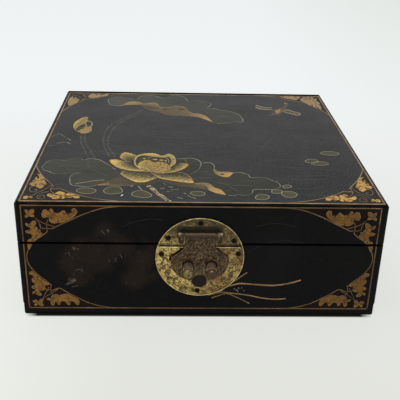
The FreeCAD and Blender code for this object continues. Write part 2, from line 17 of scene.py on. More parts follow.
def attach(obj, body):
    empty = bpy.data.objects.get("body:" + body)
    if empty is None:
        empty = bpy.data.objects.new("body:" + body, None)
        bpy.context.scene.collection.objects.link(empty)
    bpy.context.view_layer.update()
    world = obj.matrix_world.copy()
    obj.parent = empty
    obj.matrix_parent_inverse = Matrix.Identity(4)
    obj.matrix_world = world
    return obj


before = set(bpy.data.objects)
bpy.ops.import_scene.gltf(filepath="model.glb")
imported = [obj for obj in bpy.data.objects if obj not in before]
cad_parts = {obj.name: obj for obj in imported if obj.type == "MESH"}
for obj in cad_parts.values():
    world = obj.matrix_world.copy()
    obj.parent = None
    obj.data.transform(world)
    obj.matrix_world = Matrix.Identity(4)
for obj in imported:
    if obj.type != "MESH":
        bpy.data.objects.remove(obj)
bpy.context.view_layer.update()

# %% [markdown]
# ## Sizes
# Everything painted is drawn flat in millimetres, seen from outside the box, and then set on its
# face. These are the box's own sizes, so that the paint meets the rounded rims and the bottom.

# %% Sizes of the box in millimetres
MM = 0.001
HALF_WIDTH, HALF_DEPTH, BOX_HEIGHT = 150, 155, 105
SEAM, BOARD_TOP, PANEL_UNDERSIDE = 69.5, 11.5, 97
WALL, BOARD_INSET, RIM_RADIUS, SEAM_GAP = 9, 0.4, 0.7, 0.4
LOCK_X, LOCK_Z, PLATE_RADIUS, PLATE_OUT = -1.7, 57.4, 36.5, 1.2
HASP_AXIS_Z, HASP_AXIS_OUT, HASP_FACE_OUT = 79.8, 3.7, 3.4
BARREL_LOW, TAB_Z, TAB_RADIUS = 77.4, 35.4, 5.5
NAIL_RING, NAIL_ANGLES, STUD_OUT, STUD_Z = 31.8, (90, 145, 30, 174, 7, 267), 9.6, 49.5


# %% [markdown]
# ## Shader helpers
# A finish is one Principled shader. What is the same all over is set on the shader itself, and
# only what varies over the surface, such as wear, comes in through nodes on Object coordinates.

# %% Helpers that build shader nodes
def wire(tree, value, socket):
    """Link an output to a socket, or set the socket to a plain value."""
    if isinstance(value, bpy.types.NodeSocket):
        tree.links.new(value, socket)
    else:
        socket.default_value = value


def node(tree, kind, inputs=None, **settings):
    """Add one node, set its options, and fill its enabled inputs by name or by number."""
    made = tree.nodes.new(kind)
    for key, value in settings.items():
        setattr(made, key, value)
    for key, value in (inputs or {}).items():
        wire(tree, value, made.inputs[key] if isinstance(key, int) else
             next(s for s in made.inputs if s.name == key and s.enabled))
    return made


def out(made, name=None):
    """The node's first enabled output, or the one with this name."""
    return next(s for s in made.outputs if s.enabled and name in (None, s.name))


def maths(operation, *values, clamp=False):
    """Arithmetic on links and plain numbers, in the tree that the first link is in."""
    tree = next(v.id_data for v in values if isinstance(v, bpy.types.NodeSocket))
    return out(node(tree, "ShaderNodeMath", dict(enumerate(values)), operation=operation,
                    use_clamp=clamp))


def times(first, *others):
    """The product of amounts, which is high only where all of them are."""
    for other in others:
        first = maths("MULTIPLY", first, other)
    return first


def levels(value, low, high):
    """0 at the low level and below, 1 at the high level and above."""
    return out(node(value.id_data, "ShaderNodeMapRange",
                    {"Value": value, "From Min": low, "From Max": high}))


def band(place, low, high):
    """Levels of a coordinate, given in millimetres."""
    return levels(place, low * MM, high * MM)


def beside(place, middle, far, close):
    """1 close to a middle level and 0 from the far distance on, in millimetres."""
    return band(maths("ABSOLUTE", maths("SUBTRACT", place, middle * MM)), far, close)


# %% Helpers that vary a finish over its surface
def places(material):
    """The Object coordinates, whole and as x, y and z in metres."""
    tree = material.node_tree
    whole = out(node(tree, "ShaderNodeTexCoord"), "Object")
    apart = node(tree, "ShaderNodeSeparateXYZ", {0: whole})
    return whole, *[out(apart, axis) for axis in "XYZ"]


def cloud(material, scale, low, high, stretch=(1, 1, 1), detail=4.0):
    """Soft noise, brought from 0 to 1 between two levels."""
    tree = material.node_tree
    turned = node(tree, "ShaderNodeMapping", {"Vector": places(material)[0], "Scale": stretch})
    noise = node(tree, "ShaderNodeTexNoise", {"Vector": out(turned), "Scale": scale,
                                              "Detail": detail, "Roughness": 0.6})
    return levels(out(noise, "Fac"), low, high)


def near(material, centre, radius, soft):
    """1 inside a ball round a place given in millimetres, fading to 0 over the soft width."""
    away = node(material.node_tree, "ShaderNodeVectorMath",
                {0: places(material)[0], 1: [c * MM for c in centre]}, operation="DISTANCE")
    return band(out(away, "Value"), radius + soft, radius)


def tint(material, *layers):
    """Lay colours over the base colour, each as far as its amount says."""
    tree = material.node_tree
    base = tree.nodes["Principled BSDF"].inputs["Base Color"]
    for amount, colour in layers:
        under = base.links[0].from_socket if base.links else tuple(base.default_value)
        mix = node(tree, "ShaderNodeMix", {"Factor": amount, "A": under, "B": (*colour, 1)},
                   data_type="RGBA")
        wire(tree, out(mix), base)


def mottle(material, *coats):
    """Lay a colour on as clouds: the colour, then the cloud's scale, levels and so on."""
    for colour, *pattern in coats:
        tint(material, (cloud(material, *pattern), colour))


def uneven_gloss(material, scale, low, high):
    """Let the roughness wander between two values."""
    tree = material.node_tree
    ranged = node(tree, "ShaderNodeMapRange", {"Value": cloud(material, scale, 0.3, 0.7),
                                               "To Min": low, "To Max": high})
    wire(tree, out(ranged), tree.nodes["Principled BSDF"].inputs["Roughness"])


def finish(name, colour, *coats, roughness=0.5, metallic=0.0, specular=0.5):
    """A Principled finish with plain values on its own sockets, mottled by its coats."""
    material = bpy.data.materials.new(name)
    material.use_nodes = True
    shader = material.node_tree.nodes["Principled BSDF"]
    values = {"Base Color": (*colour, 1), "Roughness": roughness, "Metallic": metallic,
              "Specular IOR Level": specular}
    for socket, value in values.items():
        shader.inputs[socket].default_value = value
    mottle(material, *coats)
    return material


# %% [markdown]
# ## Black lacquer
# Old lacquer isn't plain black: it has thinned to brown along its edges, and handling has dulled
# the lid, which shows as a grey bloom. The lid's grey is also a painted sheen, for the pale room
# that the top reflects. A painted picture would need an image, so the wear comes from the
# distance to the box's edges and from noise. Lid and walls share one recipe, and the grey of
# bloom and painted sheen is kept to the upper face by height.

# %% Lacquer for walls, bottom and lid
LACQUER_GLOSS = 0.06


def lacquer(name):
    return finish(name, (0.0036, 0.0037, 0.004), ((0.0058, 0.0054, 0.0054), 9, 0.4, 0.75),
                  ((0.0085, 0.008, 0.0078), 240, 0.52, 0.8), specular=LACQUER_GLOSS)


def edge_wear(material):
    """Strong where two faces of the box meet, and broken up by noise."""
    _, x, y, z = places(material)
    reach = ((maths("ABSOLUTE", x), HALF_WIDTH), (maths("ABSOLUTE", y), HALF_DEPTH),
             (z, BOX_HEIGHT))
    close = [band(value, end - 2.0, end - 0.3) for value, end in reach]
    pairs = [times(close[a], close[b]) for a, b in ((0, 1), (1, 2), (0, 2))]
    total = maths("ADD", maths("ADD", pairs[0], pairs[1]), pairs[2], clamp=True)
    return times(total, cloud(material, 55, 0.46, 0.74))


def inside_of_box(material):
    """1 on the faces that look into the box, 0 on the outer faces."""
    _, x, y, z = places(material)
    return times(maths("LESS_THAN", maths("ABSOLUTE", x), (HALF_WIDTH - WALL + 0.2) * MM),
                 maths("LESS_THAN", maths("ABSOLUTE", y), (HALF_DEPTH - WALL + 0.2) * MM),
                 maths("GREATER_THAN", z, (BOARD_TOP - 0.1) * MM),
                 maths("LESS_THAN", z, (PANEL_UNDERSIDE + 0.1) * MM))


def age(material, dull, dullest):
    """Brown worn edges, painted shadow in the seam's gap, red brown inside, and uneven gloss."""
    inside = inside_of_box(material)
    # Along the seam the lacquer is painted black as the shadow in the gap.
    tint(material, (edge_wear(material), (0.04, 0.03, 0.024)),
         (beside(places(material)[3], SEAM, 0.95, 0.6), (0.001, 0.001, 0.001)),
         (inside, (0.015, 0.0085, 0.0065)),
         (times(inside, cloud(material, 28, 0.45, 0.8)), (0.029, 0.015, 0.0105)))
    uneven_gloss(material, 30, dull, dullest)


wall_lacquer = lacquer("black_lacquer")
age(wall_lacquer, 0.36, 0.5)
print("lacquer for the walls ready")

# %% Lacquer of the lid, with its grey bloom and painted sheen
lid_lacquer = lacquer("black_lacquer_lid")
_, lid_x, lid_y, lid_z = places(lid_lacquer)
lid_top = band(lid_z, BOX_HEIGHT - 0.4, BOX_HEIGHT - 0.1)
haze = cloud(lid_lacquer, 14, 0.35, 0.75, (1, 0.5, 1))
darker_front_right = times(band(lid_y, 0, -120), band(lid_x, -40, 100))
brushed = cloud(lid_lacquer, 150, 0.58, 0.8, (0.12, 1.4, 1))
dust = cloud(lid_lacquer, 620, 0.42, 0.72, (1, 0.7, 1), 2.0)
# The top face is raised to grey by dust, bloom and a painted sheen. It is lighter towards the back
# and darker towards the front right.
for amount, colour in ((1.0, (0.0262, 0.026, 0.0256)), (haze, (0.03, 0.029, 0.0275)),
                       (darker_front_right, (0.015, 0.015, 0.015)),
                       (times(band(lid_y, 0, 150), 0.5), (0.042, 0.041, 0.0395)),
                       (brushed, (0.05, 0.05, 0.049)), (dust, (0.05, 0.049, 0.047))):
    tint(lid_lacquer, (times(lid_top, amount), colour))
age(lid_lacquer, 0.46, 0.58)
print("lacquer for the lid ready")

# %% [markdown]
# ## Worn picture on the front wall
# The front once had a picture to the left of the lock, now rubbed down to brown shadows with a
# few pale streaks. Nothing is left of its outlines, so it is a stain in the lacquer: balls of
# noise round the places where the paint was. The streaks are drawn later, as thin strokes.

# %% Stains on the front walls, by place and radius
front_lacquer = lacquer("black_lacquer_front")
WORN_PLACES = ((-106, 52, 13), (-95, 62, 15), (-78, 78, 11), (-84, 56, 15), (-68, 66, 13),
               (-52, 60, 15), (-45, 45, 13), (-101, 38, 11), (-56, 36, 11))
VEILS = ((58, 77, 34), (48, 50, 40))
for x, z, radius in WORN_PLACES:
    stain = near(front_lacquer, (x, -HALF_DEPTH, z), radius * 0.55, radius * 0.65)
    rubbed = times(stain, cloud(front_lacquer, 75, 0.3, 0.52))
    specks = times(stain, cloud(front_lacquer, 360, 0.62, 0.74, (1, 1, 0.45)))
    tint(front_lacquer, (rubbed, (0.0175, 0.0115, 0.0085)), (specks, (0.05, 0.038, 0.027)))
for x, z, radius in VEILS:
    veil = near(front_lacquer, (x, -HALF_DEPTH, z), radius * 0.2, radius * 0.9)
    tint(front_lacquer, (times(veil, cloud(front_lacquer, 25, 0.4, 0.7)),
                         (0.0075, 0.0076, 0.0078)))
age(front_lacquer, 0.36, 0.5)
print("front lacquer with", len(WORN_PLACES), "worn places")

# %% [markdown]
# ## Metals
# The lock plate is engraved brass, yellow at the lower left where hands rub it and brown above
# the hasp, where they don't. The hasp, its eyes and the studs are a darker, coppery alloy.
# Metallic shaders take their colour from the base colour alone, so the patina is mixed into that,
# as are the painted shadows above the barrel and behind the studs and the painted light on the
# eyes.

# %% Brass of the lock plate
plate_brass = finish("engraved_brass", (0.73, 0.545, 0.175),
                     ((0.31, 0.205, 0.07), 160, 0.44, 0.6),
                     ((0.33, 0.18, 0.062), 60, 0.48, 0.66),
                     ((0.115, 0.08, 0.036), 400, 0.51, 0.59),
                     ((0.06, 0.042, 0.022), 620, 0.54, 0.62), roughness=0.4, metallic=0.85)
_, plate_x, _, plate_z = places(plate_brass)
for place, low, high, strength in ((plate_z, 66, 84, 0.92), (plate_x, 2, 30, 0.5),
                                   (plate_z, 34, 22, 0.28)):
    patina = times(band(place, low, high), cloud(plate_brass, 90, 0.2, 0.52), strength)
    tint(plate_brass, (patina, (0.07, 0.05, 0.026)))
# Above the barrel the plate is darkened: patina, and a painted shadow in the crevice.
barrel_shadow_and_patina = times(beside(plate_z, 84.2, 3.4, 1.4), beside(plate_x, -3.5, 21, 16))
tint(plate_brass, (barrel_shadow_and_patina, (0.022, 0.021, 0.014)))
plate_y = -HALF_DEPTH - PLATE_OUT
for angle in map(math.radians, NAIL_ANGLES):
    nail = (LOCK_X + NAIL_RING * math.cos(angle), plate_y, LOCK_Z + NAIL_RING * math.sin(angle))
    tint(plate_brass, (near(plate_brass, nail, 2.1, 0.7), (0.014, 0.01, 0.006)))
# Behind each stud the plate is darkened, a painted shadow in the hasp's slot.
for side in (-STUD_OUT, STUD_OUT):
    stud_slot_shadow = near(plate_brass, (LOCK_X + side, plate_y, STUD_Z + 1), 5.5, 0.6)
    tint(plate_brass, (stud_slot_shadow, (0.016, 0.011, 0.008)))
uneven_gloss(plate_brass, 200, 0.3, 0.52)
engraved_and_shadow_dark = finish("engraved_lines_and_cut_shadow", (0.048, 0.033, 0.016), roughness=0.6, metallic=0.4)
split_shade = finish("split_shade", (0.006, 0.005, 0.004), roughness=0.7, specular=0.1)
# This brass is rubbed on the plate's rim, and it paints highlights at the cut and beside the tab.
rubbed_brass_and_highlight = finish("rubbed_brass_and_highlight", (0.66, 0.53, 0.24), ((0.33, 0.24, 0.1), 160, 0.44, 0.62),
                      roughness=0.34, metallic=0.85)
nail_metal = finish("nail_brass", (0.011, 0.007, 0.005), metallic=0.8, specular=0.1)


# %% Dark alloy of hasp, eyes and studs
def dark_bronze(name, colour, fleck, hollow):
    """A brown alloy with brassy flecks on its high places and dark hollows."""
    return finish(name, colour, (hollow, 120, 0.48, 0.68), (fleck, 330, 0.52, 0.68),
                  roughness=0.42, metallic=0.8)


hasp_bronze = dark_bronze("dark_bronze", (0.088, 0.054, 0.027), (0.155, 0.1, 0.042),
                          (0.03, 0.018, 0.011))
hasp_z = places(hasp_bronze)[3]
tab = near(hasp_bronze, (LOCK_X, -HALF_DEPTH - HASP_FACE_OUT, TAB_Z), TAB_RADIUS + 0.5, 0.8)
tint(hasp_bronze, (times(band(hasp_z, 56, 66), 0.6), (0.042, 0.028, 0.017)),
     (cloud(hasp_bronze, 560, 0.57, 0.64), (0.215, 0.15, 0.062)),
     (cloud(hasp_bronze, 460, 0.53, 0.6, (1, 1, 1.3)), (0.013, 0.009, 0.007)),
     (times(band(hasp_z, BARREL_LOW - 0.6, BARREL_LOW), 0.8), (0.062, 0.042, 0.032)),
     (tab, (0.014, 0.01, 0.009)))
relief_bronze = dark_bronze("hasp_relief", (0.1, 0.07, 0.045), (0.22, 0.16, 0.078),
                            (0.04, 0.027, 0.02))
# The bright relief serves the medallion rings and a painted highlight.
bright_relief_and_highlight = dark_bronze("hasp_relief_bright_and_highlight", (0.23, 0.165, 0.08), (0.42, 0.32, 0.14),
                            (0.09, 0.062, 0.036))
eye_bronze = dark_bronze("eye_bronze", (0.048, 0.034, 0.02), (0.17, 0.13, 0.07),
                         (0.016, 0.011, 0.008))
# Each eye gets a painted highlight on its upper outer rim and a painted shadow lower down.
for side in (-1, 1):
    for spread, depth, rise, radius, soft, colour in (
            (17.4, 1.6, 2.2, 1.0, 1.4, (0.17, 0.14, 0.1)),
            (17.6, 1.8, -2.8, 1.2, 1.2, (0.012, 0.008, 0.006))):
        painted_light_spot = (LOCK_X + side * spread, -HALF_DEPTH - HASP_AXIS_OUT - depth,
                     HASP_AXIS_Z + rise)
        tint(eye_bronze, (near(eye_bronze, painted_light_spot, radius, soft), colour))


def stud_alloy(name, tip):
    """Brown alloy of a stud, whose tip has a colour of its own from the bar that rubs it."""
    material = dark_bronze(name, (0.43, 0.31, 0.225), (0.52, 0.39, 0.24),
                           (0.2, 0.135, 0.1))
    reach = band(places(material)[2], -167.8, -168.6)
    tint(material, (times(reach, cloud(material, 260, 0.22, 0.42)), tip),
         (times(reach, cloud(material, 420, 0.55, 0.65)), (0.035, 0.025, 0.018)))
    return material


rubbed_stud = stud_alloy("rubbed_stud", (0.21, 0.155, 0.062))
stud_bronze = stud_alloy("stud_bronze", (0.072, 0.046, 0.024))
hinge_brass = finish("hinge_brass", (0.36, 0.26, 0.11), ((0.17, 0.115, 0.055), 150, 0.45, 0.65),
                     roughness=0.4, metallic=0.85)
bamboo = finish("bamboo", (0.45, 0.32, 0.17), ((0.33, 0.22, 0.11), 300, 0.4, 0.7, (1, 1, 0.1)),
                roughness=0.7)
print("metals ready")

# %% [markdown]
# ## Gold and colours of the painting
# Gold powder dusted on wet lacquer looks like dull metal, brown where it has worn through. The
# pond on the lid has gold edges that shade into grey green, as brushed powders do. Each point of
# a petal carries a number, its tone, from 0 at the gold edge to 1 in the shade, and a second one,
# its stroke, that runs along the edge. The material turns the tone into colour, and breaks it up
# along the stroke, which gives the fine hatching of a brush.

# %% Gold leaf
leaf_gold = finish("gold_leaf", (0.276, 0.135, 0.03), metallic=0.2, specular=0.05)
_, gold_x, gold_y, _ = places(leaf_gold)
front_right = times(band(gold_x, 60, 125), maths("LESS_THAN", gold_y, -HALF_DEPTH * MM))
tint(leaf_gold, (front_right, (0.168, 0.084, 0.022)))
mottle(leaf_gold, ((0.165, 0.078, 0.022), 300, 0.46, 0.66),
       ((0.12, 0.06, 0.026), 90, 0.52, 0.7), ((0.5, 0.26, 0.065), 520, 0.62, 0.72))
lid_leaf = finish("gold_leaf_lid", (0.54, 0.32, 0.085), ((0.24, 0.115, 0.036), 260, 0.46, 0.6),
                  ((0.11, 0.055, 0.028), 130, 0.55, 0.66),
                  ((0.7, 0.48, 0.19), 480, 0.56, 0.66), specular=0.05)
left_leaf = near(lid_leaf, (-138, -107, BOX_HEIGHT), 17, 6)
tint(lid_leaf, (times(band(places(lid_leaf)[2], 60, 110), 0.8), (0.29, 0.2, 0.108)),
     (times(left_leaf, 0.6), (0.27, 0.165, 0.066)))

# %% Lines, grounds and small strokes
leaf_edge = finish("gold_leaf_edge", (0.27, 0.17, 0.085),
                   ((0.13, 0.072, 0.034), 200, 0.42, 0.62), metallic=0.2, specular=0.05)
leaf_vein = finish("gold_leaf_vein", (0.095, 0.048, 0.018), roughness=0.55, specular=0.2)
cleft_brown = finish("cleft_brown", (0.055, 0.03, 0.014), roughness=0.55, specular=0.05)
line_gold = finish("gold_line", (0.195, 0.108, 0.043), ((0.095, 0.058, 0.03), 60, 0.42, 0.66),
                   ((0.26, 0.19, 0.14), 110, 0.56, 0.7), metallic=0.1, specular=0.05)
lid_line_gold = finish("gold_line_lid", (0.35, 0.24, 0.14),
                       ((0.175, 0.108, 0.06), 60, 0.42, 0.66), specular=0.05)
grass_gold = finish("grass_gold", (0.35, 0.215, 0.1), ((0.19, 0.115, 0.058), 60, 0.42, 0.62),
                    metallic=0.1, specular=0.05)
spandrel_ground = finish("corner_ground", (0.0095, 0.0062, 0.0052),
                         ((0.005, 0.0042, 0.004), 60, 0.4, 0.7), roughness=0.45,
                         specular=LACQUER_GLOSS)
lid_ground_coat = finish("lid_corner_ground", (0.013, 0.0105, 0.0095),
                         ((0.02, 0.017, 0.015), 60, 0.4, 0.7), specular=LACQUER_GLOSS)
rim_lacquer = finish("rim_lacquer", (0.004, 0.0038, 0.0036),
                     ((0.02, 0.012, 0.007), 40, 0.52, 0.72), roughness=0.6, specular=0.0)
seam_shadow = finish("seam_shadow", (0.0008, 0.0008, 0.0008), roughness=0.9, specular=0.0)
pale_line = finish("pale_line", (0.3, 0.3, 0.225), ((0.095, 0.098, 0.072), 70, 0.4, 0.62),
                   specular=0.05)
pad_line = finish("pad_line", (0.29, 0.275, 0.17), specular=0.05)
speckle = finish("stem_speckle", (0.185, 0.17, 0.14), ((0.085, 0.078, 0.066), 120, 0.42, 0.62),
                 specular=0.1)
faint_line = finish("faint_line", (0.082, 0.086, 0.072), ((0.04, 0.042, 0.036), 70, 0.4, 0.62),
                    specular=LACQUER_GLOSS)
worn_light = finish("worn_light", (0.115, 0.098, 0.078), ((0.04, 0.032, 0.024), 300, 0.42, 0.62),
                    roughness=0.55, specular=LACQUER_GLOSS)
faint_arc = finish("faint_arc", (0.014, 0.0135, 0.0125), specular=LACQUER_GLOSS)
white_chip = finish("chip", (0.75, 0.74, 0.7), roughness=0.6)
seed_dark = finish("seed_dark", (0.185, 0.11, 0.048), specular=0.04)
seed_light = finish("seed_light", (0.56, 0.39, 0.12), specular=0.04)
warm_gold = finish("warm_gold", (0.56, 0.29, 0.09), ((0.3, 0.16, 0.062), 90, 0.4, 0.6),
                   specular=0.04)
wing_line = finish("wing_line", (0.4, 0.38, 0.28), specular=0.04)
stem_gold = finish("stem_gold", (0.52, 0.4, 0.215), specular=0.04)
stipple_brown = finish("stipple_brown", (0.105, 0.068, 0.036), specular=0.1)
ridge_paint = finish("fold_ridge", (0.4, 0.295, 0.16), ((0.17, 0.115, 0.066), 60, 0.42, 0.62),
                     specular=0.1)


# %% Greens of leaves and pads
def leaf_paint(name, colour, light):
    """A thin wash of green over the lacquer, with soft brush marks."""
    return finish(name, colour, ([0.75 * c for c in colour], 18, 0.4, 0.7),
                  (light, 200, 0.5, 0.75, (0.25, 1, 1)), (light, 620, 0.5, 0.75, (1, 1, 1), 2.0),
                  specular=LACQUER_GLOSS)


leaf_green = leaf_paint("pond_leaf", (0.046, 0.045, 0.034), (0.066, 0.065, 0.05))
leaf_dark = leaf_paint("pond_leaf_dark", (0.0325, 0.0325, 0.024), (0.052, 0.052, 0.04))
leaf_far = leaf_paint("pond_leaf_far", (0.048, 0.0475, 0.037), (0.07, 0.069, 0.055))
tint(leaf_far, (times(band(places(leaf_far)[1], -20, -95), 0.8), (0.084, 0.077, 0.06)))
pad_dark = leaf_paint("pond_pad_dark", (0.06, 0.056, 0.033), (0.092, 0.088, 0.056))
pad_green = leaf_paint("pond_pad", (0.072, 0.066, 0.037), (0.112, 0.106, 0.064))


# %% Shaded paint, from gold at tone 0 to grey green or brown at tone 1
def shaded_paint(name, *stops, grain=0.6):
    """Colour by the piece's own tone, broken up along its stroke and by grain."""
    material = finish(name, stops[0][1], specular=0.04)
    tree = material.node_tree
    total, stroke = [out(node(tree, "ShaderNodeAttribute", attribute_name=key), "Fac")
                     for key in ("tone", "stroke")]
    hatch = out(node(tree, "ShaderNodeTexNoise", {"W": stroke, "Scale": 1.5, "Detail": 2.0},
                     noise_dimensions="1D"), "Fac")
    for pattern, strength in ((hatch, 0.3), (cloud(material, 400, 0.2, 0.8), grain)):
        total = maths("ADD", total, times(maths("SUBTRACT", pattern, 0.5), strength))
    ramp = node(tree, "ShaderNodeValToRGB", {"Fac": total})
    marks = ramp.color_ramp.elements
    for mark, (position, colour) in zip(marks, (stops[0], stops[-1])):
        mark.position, mark.color = position, (*colour, 1)
    for position, colour in stops[1:-1]:
        marks.new(position).color = (*colour, 1)
    wire(tree, out(ramp, "Color"), tree.nodes["Principled BSDF"].inputs["Base Color"])
    return material


lotus_paint = shaded_paint(
    "lotus_paint", (0.0, (0.78, 0.55, 0.16)), (0.18, (0.66, 0.47, 0.155)),
    (0.36, (0.46, 0.33, 0.118)), (0.55, (0.262, 0.198, 0.078)), (0.75, (0.102, 0.084, 0.042)),
    (1.0, (0.024, 0.024, 0.018)))
seed_paint = shaded_paint(
    "seed_paint", (0.0, (0.66, 0.47, 0.13)), (0.3, (0.48, 0.34, 0.11)),
    (0.55, (0.33, 0.225, 0.08)), (0.8, (0.17, 0.105, 0.045)), (1.0, (0.075, 0.048, 0.026)),
    grain=1.2)
fold_paint = shaded_paint(
    "fold_paint", (0.0, (0.55, 0.315, 0.1)), (0.25, (0.39, 0.24, 0.095)),
    (0.5, (0.232, 0.165, 0.084)), (0.75, (0.106, 0.082, 0.048)), (1.0, (0.056, 0.044, 0.028)),
    grain=0.4)
print("paints ready:", len(bpy.data.materials), "finishes")

# %% [markdown]
# ## Finishes on the CAD pieces
# The CAD solids keep their shape. Each gets its finish by name.

# %% Give every CAD node its finish
FINISH_OF = {
    "lid_top_panel": lid_lacquer, "bottom_board": wall_lacquer,
    "base_front_wall": front_lacquer, "lid_front_wall": front_lacquer,
    "lock_plate_lower": plate_brass, "lock_plate_upper": plate_brass,
    "lock_plate_nails_lower": nail_metal, "lock_plate_nails_upper": nail_metal,
    "hasp_stud_left": rubbed_stud, "hasp_stud_right": stud_bronze,
    "hasp_eye_left": eye_bronze, "hasp_eye_right": eye_bronze, "hasp_ring_rivets": relief_bronze,
    "bottom_dowels": bamboo, "panel_dowels": bamboo,
}
for name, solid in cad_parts.items():
    other = (wall_lacquer if name.endswith("_wall") else
             hinge_brass if name.startswith("hinge") else hasp_bronze)
    solid.data.materials.clear()
    solid.data.materials.append(FINISH_OF.get(name, other))
print("finishes set on", len(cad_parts), "nodes")


# %% [markdown]
# ## Drawing tools
# A painted shape is a closed outline, smoothed and filled, with a hair of thickness so that its
# edge catches light and it stays a closed mesh. Drawing the points in millimetres keeps each
# motif easy to move. Every face of the box has a frame: right and up as seen from outside, and
# out of the face.

# %% Faces of the box, and smooth outlines
def face_frame(origin, right, up):
    """A matrix from flat millimetres (right, up, out) to the box's place in metres."""
    right, up = Vector(right), Vector(up)
    turn = Matrix((right, up, right.cross(up))).transposed().to_4x4()
    return Matrix.Translation(Vector(origin) * MM) @ turn @ Matrix.Scale(MM, 4)


FACES = {
    "top": face_frame((0, 0, BOX_HEIGHT), (1, 0, 0), (0, 1, 0)),
    "front": face_frame((0, -HALF_DEPTH, 0), (1, 0, 0), (0, 0, 1)),
    "back": face_frame((0, HALF_DEPTH, 0), (-1, 0, 0), (0, 0, 1)),
    "left": face_frame((-HALF_WIDTH, 0, 0), (0, -1, 0), (0, 0, 1)),
    "right": face_frame((HALF_WIDTH, 0, 0), (0, 1, 0), (0, 0, 1)),
}


def smooth(points, closed=False, steps=4):
    """A Catmull-Rom curve through the points."""
    count, result = len(points), []
    for i in range(count if closed else count - 1):
        p = [Vector(points[(i + k) % count] if closed else points[min(max(i + k, 0), count - 1)])
             for k in (-1, 0, 1, 2)]
        for t in [step / steps for step in range(steps)]:
            result.append(0.5 * (2 * p[1] + (p[2] - p[0]) * t
                                 + (2 * p[0] - 5 * p[1] + 4 * p[2] - p[3]) * t**2
                                 + (3 * p[1] - p[0] - 3 * p[2] + p[3]) * t**3))
    return result if closed else result + [Vector(points[-1])]


def ellipse(x, y, wide, high, angles):
    """Points round an ellipse."""
    return [(x + wide * math.cos(a), y + high * math.sin(a)) for a in angles]


def turn_in(count, first=0.0, last=math.tau):
    """Evenly spaced angles from the first up to, but not with, the last."""
    return [first + (last - first) * k / count for k in range(count)]


# %% Filled patches and shaded strips
PAINT_DEPTH = 0.05


def along(values, share):
    """The value at a share of the way through evenly spaced values."""
    spot = share * (len(values) - 1)
    i = min(int(spot), len(values) - 2)
    return values[i] + (values[i + 1] - values[i]) * (spot - i)


def evenly(line, count):
    """The same curve as evenly spaced points."""
    lengths = [0.0]
    for a, b in zip(line, line[1:]):
        lengths.append(lengths[-1] + (b - a).length)
    result, i = [], 0
    for step in range(count):
        wanted = lengths[-1] * step / (count - 1)
        while i < len(line) - 2 and lengths[i + 1] < wanted:
            i += 1
        span = max(lengths[i + 1] - lengths[i], 1e-9)
        result.append(line[i].lerp(line[i + 1], min((wanted - lengths[i]) / span, 1.0)))
    return result


class Paint:
    """Patches of paint gathered in one mesh, drawn flat in millimetres."""

    def __init__(self):
        self.points, self.faces, self.tones, self.strokes = [], [], [], []

    def patch(self, outline, height=0.03, tone=0.0, rounded=True):
        """Fill a closed outline."""
        ring = smooth(outline, closed=True) if rounded else [Vector(p) for p in outline]
        area = sum(a.cross(b) for a, b in zip(ring, ring[1:] + ring[:1]))
        ring = ring if area > 0 else ring[::-1]
        start, count = len(self.points), len(ring)
        self.points += [(*p, level) for level in (-PAINT_DEPTH, height) for p in ring]
        self.tones += [tone] * (2 * count)
        self.strokes += [0.0] * (2 * count)
        for a, b, c in tessellate_polygon([[(*p, 0) for p in ring]]):
            turned = (ring[b] - ring[a]).cross(ring[c] - ring[a]) > 0
            a, c = (a, c) if turned else (c, a)
            self.faces += [[start + count + i for i in (a, b, c)], [start + i for i in (c, b, a)]]
        for i in range(count):
            j = (i + 1) % count
            self.faces.append([start + i, start + j, start + count + j, start + count + i])

    def strip(self, edge, shade, edge_tones, shade_tones, height, across=6):
        """Fill between two open curves. Each curve has its own tones, evenly along it."""
        columns = 12 + 3 * max(len(edge), len(shade))
        first, last = evenly(smooth(edge), columns), evenly(smooth(shade), columns)
        shares = [i / (columns - 1) for i in range(columns)]
        length = sum((b - a).length for a, b in zip(first, first[1:]))
        middle = columns // 2
        run = first[middle + 1] - first[middle]
        if run.cross(last[middle] - first[middle]) < 0:
            first, last, shares = first[::-1], last[::-1], shares[::-1]
        rows, start = across + 1, len(self.points)
        for level in (height, -PAINT_DEPTH):
            for part in [row / across for row in range(rows)]:
                shaded = part**0.6
                self.points += [(*a.lerp(b, part), level) for a, b in zip(first, last)]
                self.tones += [along(edge_tones, s) * (1 - shaded) + along(shade_tones, s) * shaded
                               for s in shares]
                self.strokes += [length * s for s in shares]
        below = rows * columns
        for row in range(across):
            for i in range(columns - 1):
                corner = start + row * columns + i
                quad = [corner, corner + 1, corner + columns + 1, corner + columns]
                self.faces += [quad, [k + below for k in quad[::-1]]]
        rim = [start + i for i in range(columns)]
        rim += [start + row * columns + columns - 1 for row in range(1, rows)]
        rim += [start + across * columns + i for i in range(columns - 2, -1, -1)]
        rim += [start + row * columns for row in range(across - 1, 0, -1)]
        for a, b in zip(rim, rim[1:] + rim[:1]):
            self.faces.append([b, a, a + below, b + below])

    def mesh(self):
        made = bpy.data.meshes.new("paint")
        made.from_pydata(self.points, [], self.faces)
        for key, values in (("tone", self.tones), ("stroke", self.strokes)):
            made.attributes.new(key, "FLOAT", "POINT").data.foreach_set("value", values)
        return made


def painted(shapes, height, rise=0.0, **how):
    """Patches of one coat, each a little higher than the one before."""
    coat = Paint()
    for i, shape in enumerate(shapes):
        coat.patch(shape, height + rise * i, **how)
    return coat.mesh()


# %% [markdown]
# ## Painted lines with Geometry Nodes
# A line is drawn as a chain of points, and a node tree sweeps a small section along it. The tree
# has named inputs for width and height, so one tree serves border lines, leaf veins, grass and
# the raised lines on the hasp. A second tree lays dots along a line, and a third scatters marks
# over a patch, as an engraver's punch does.

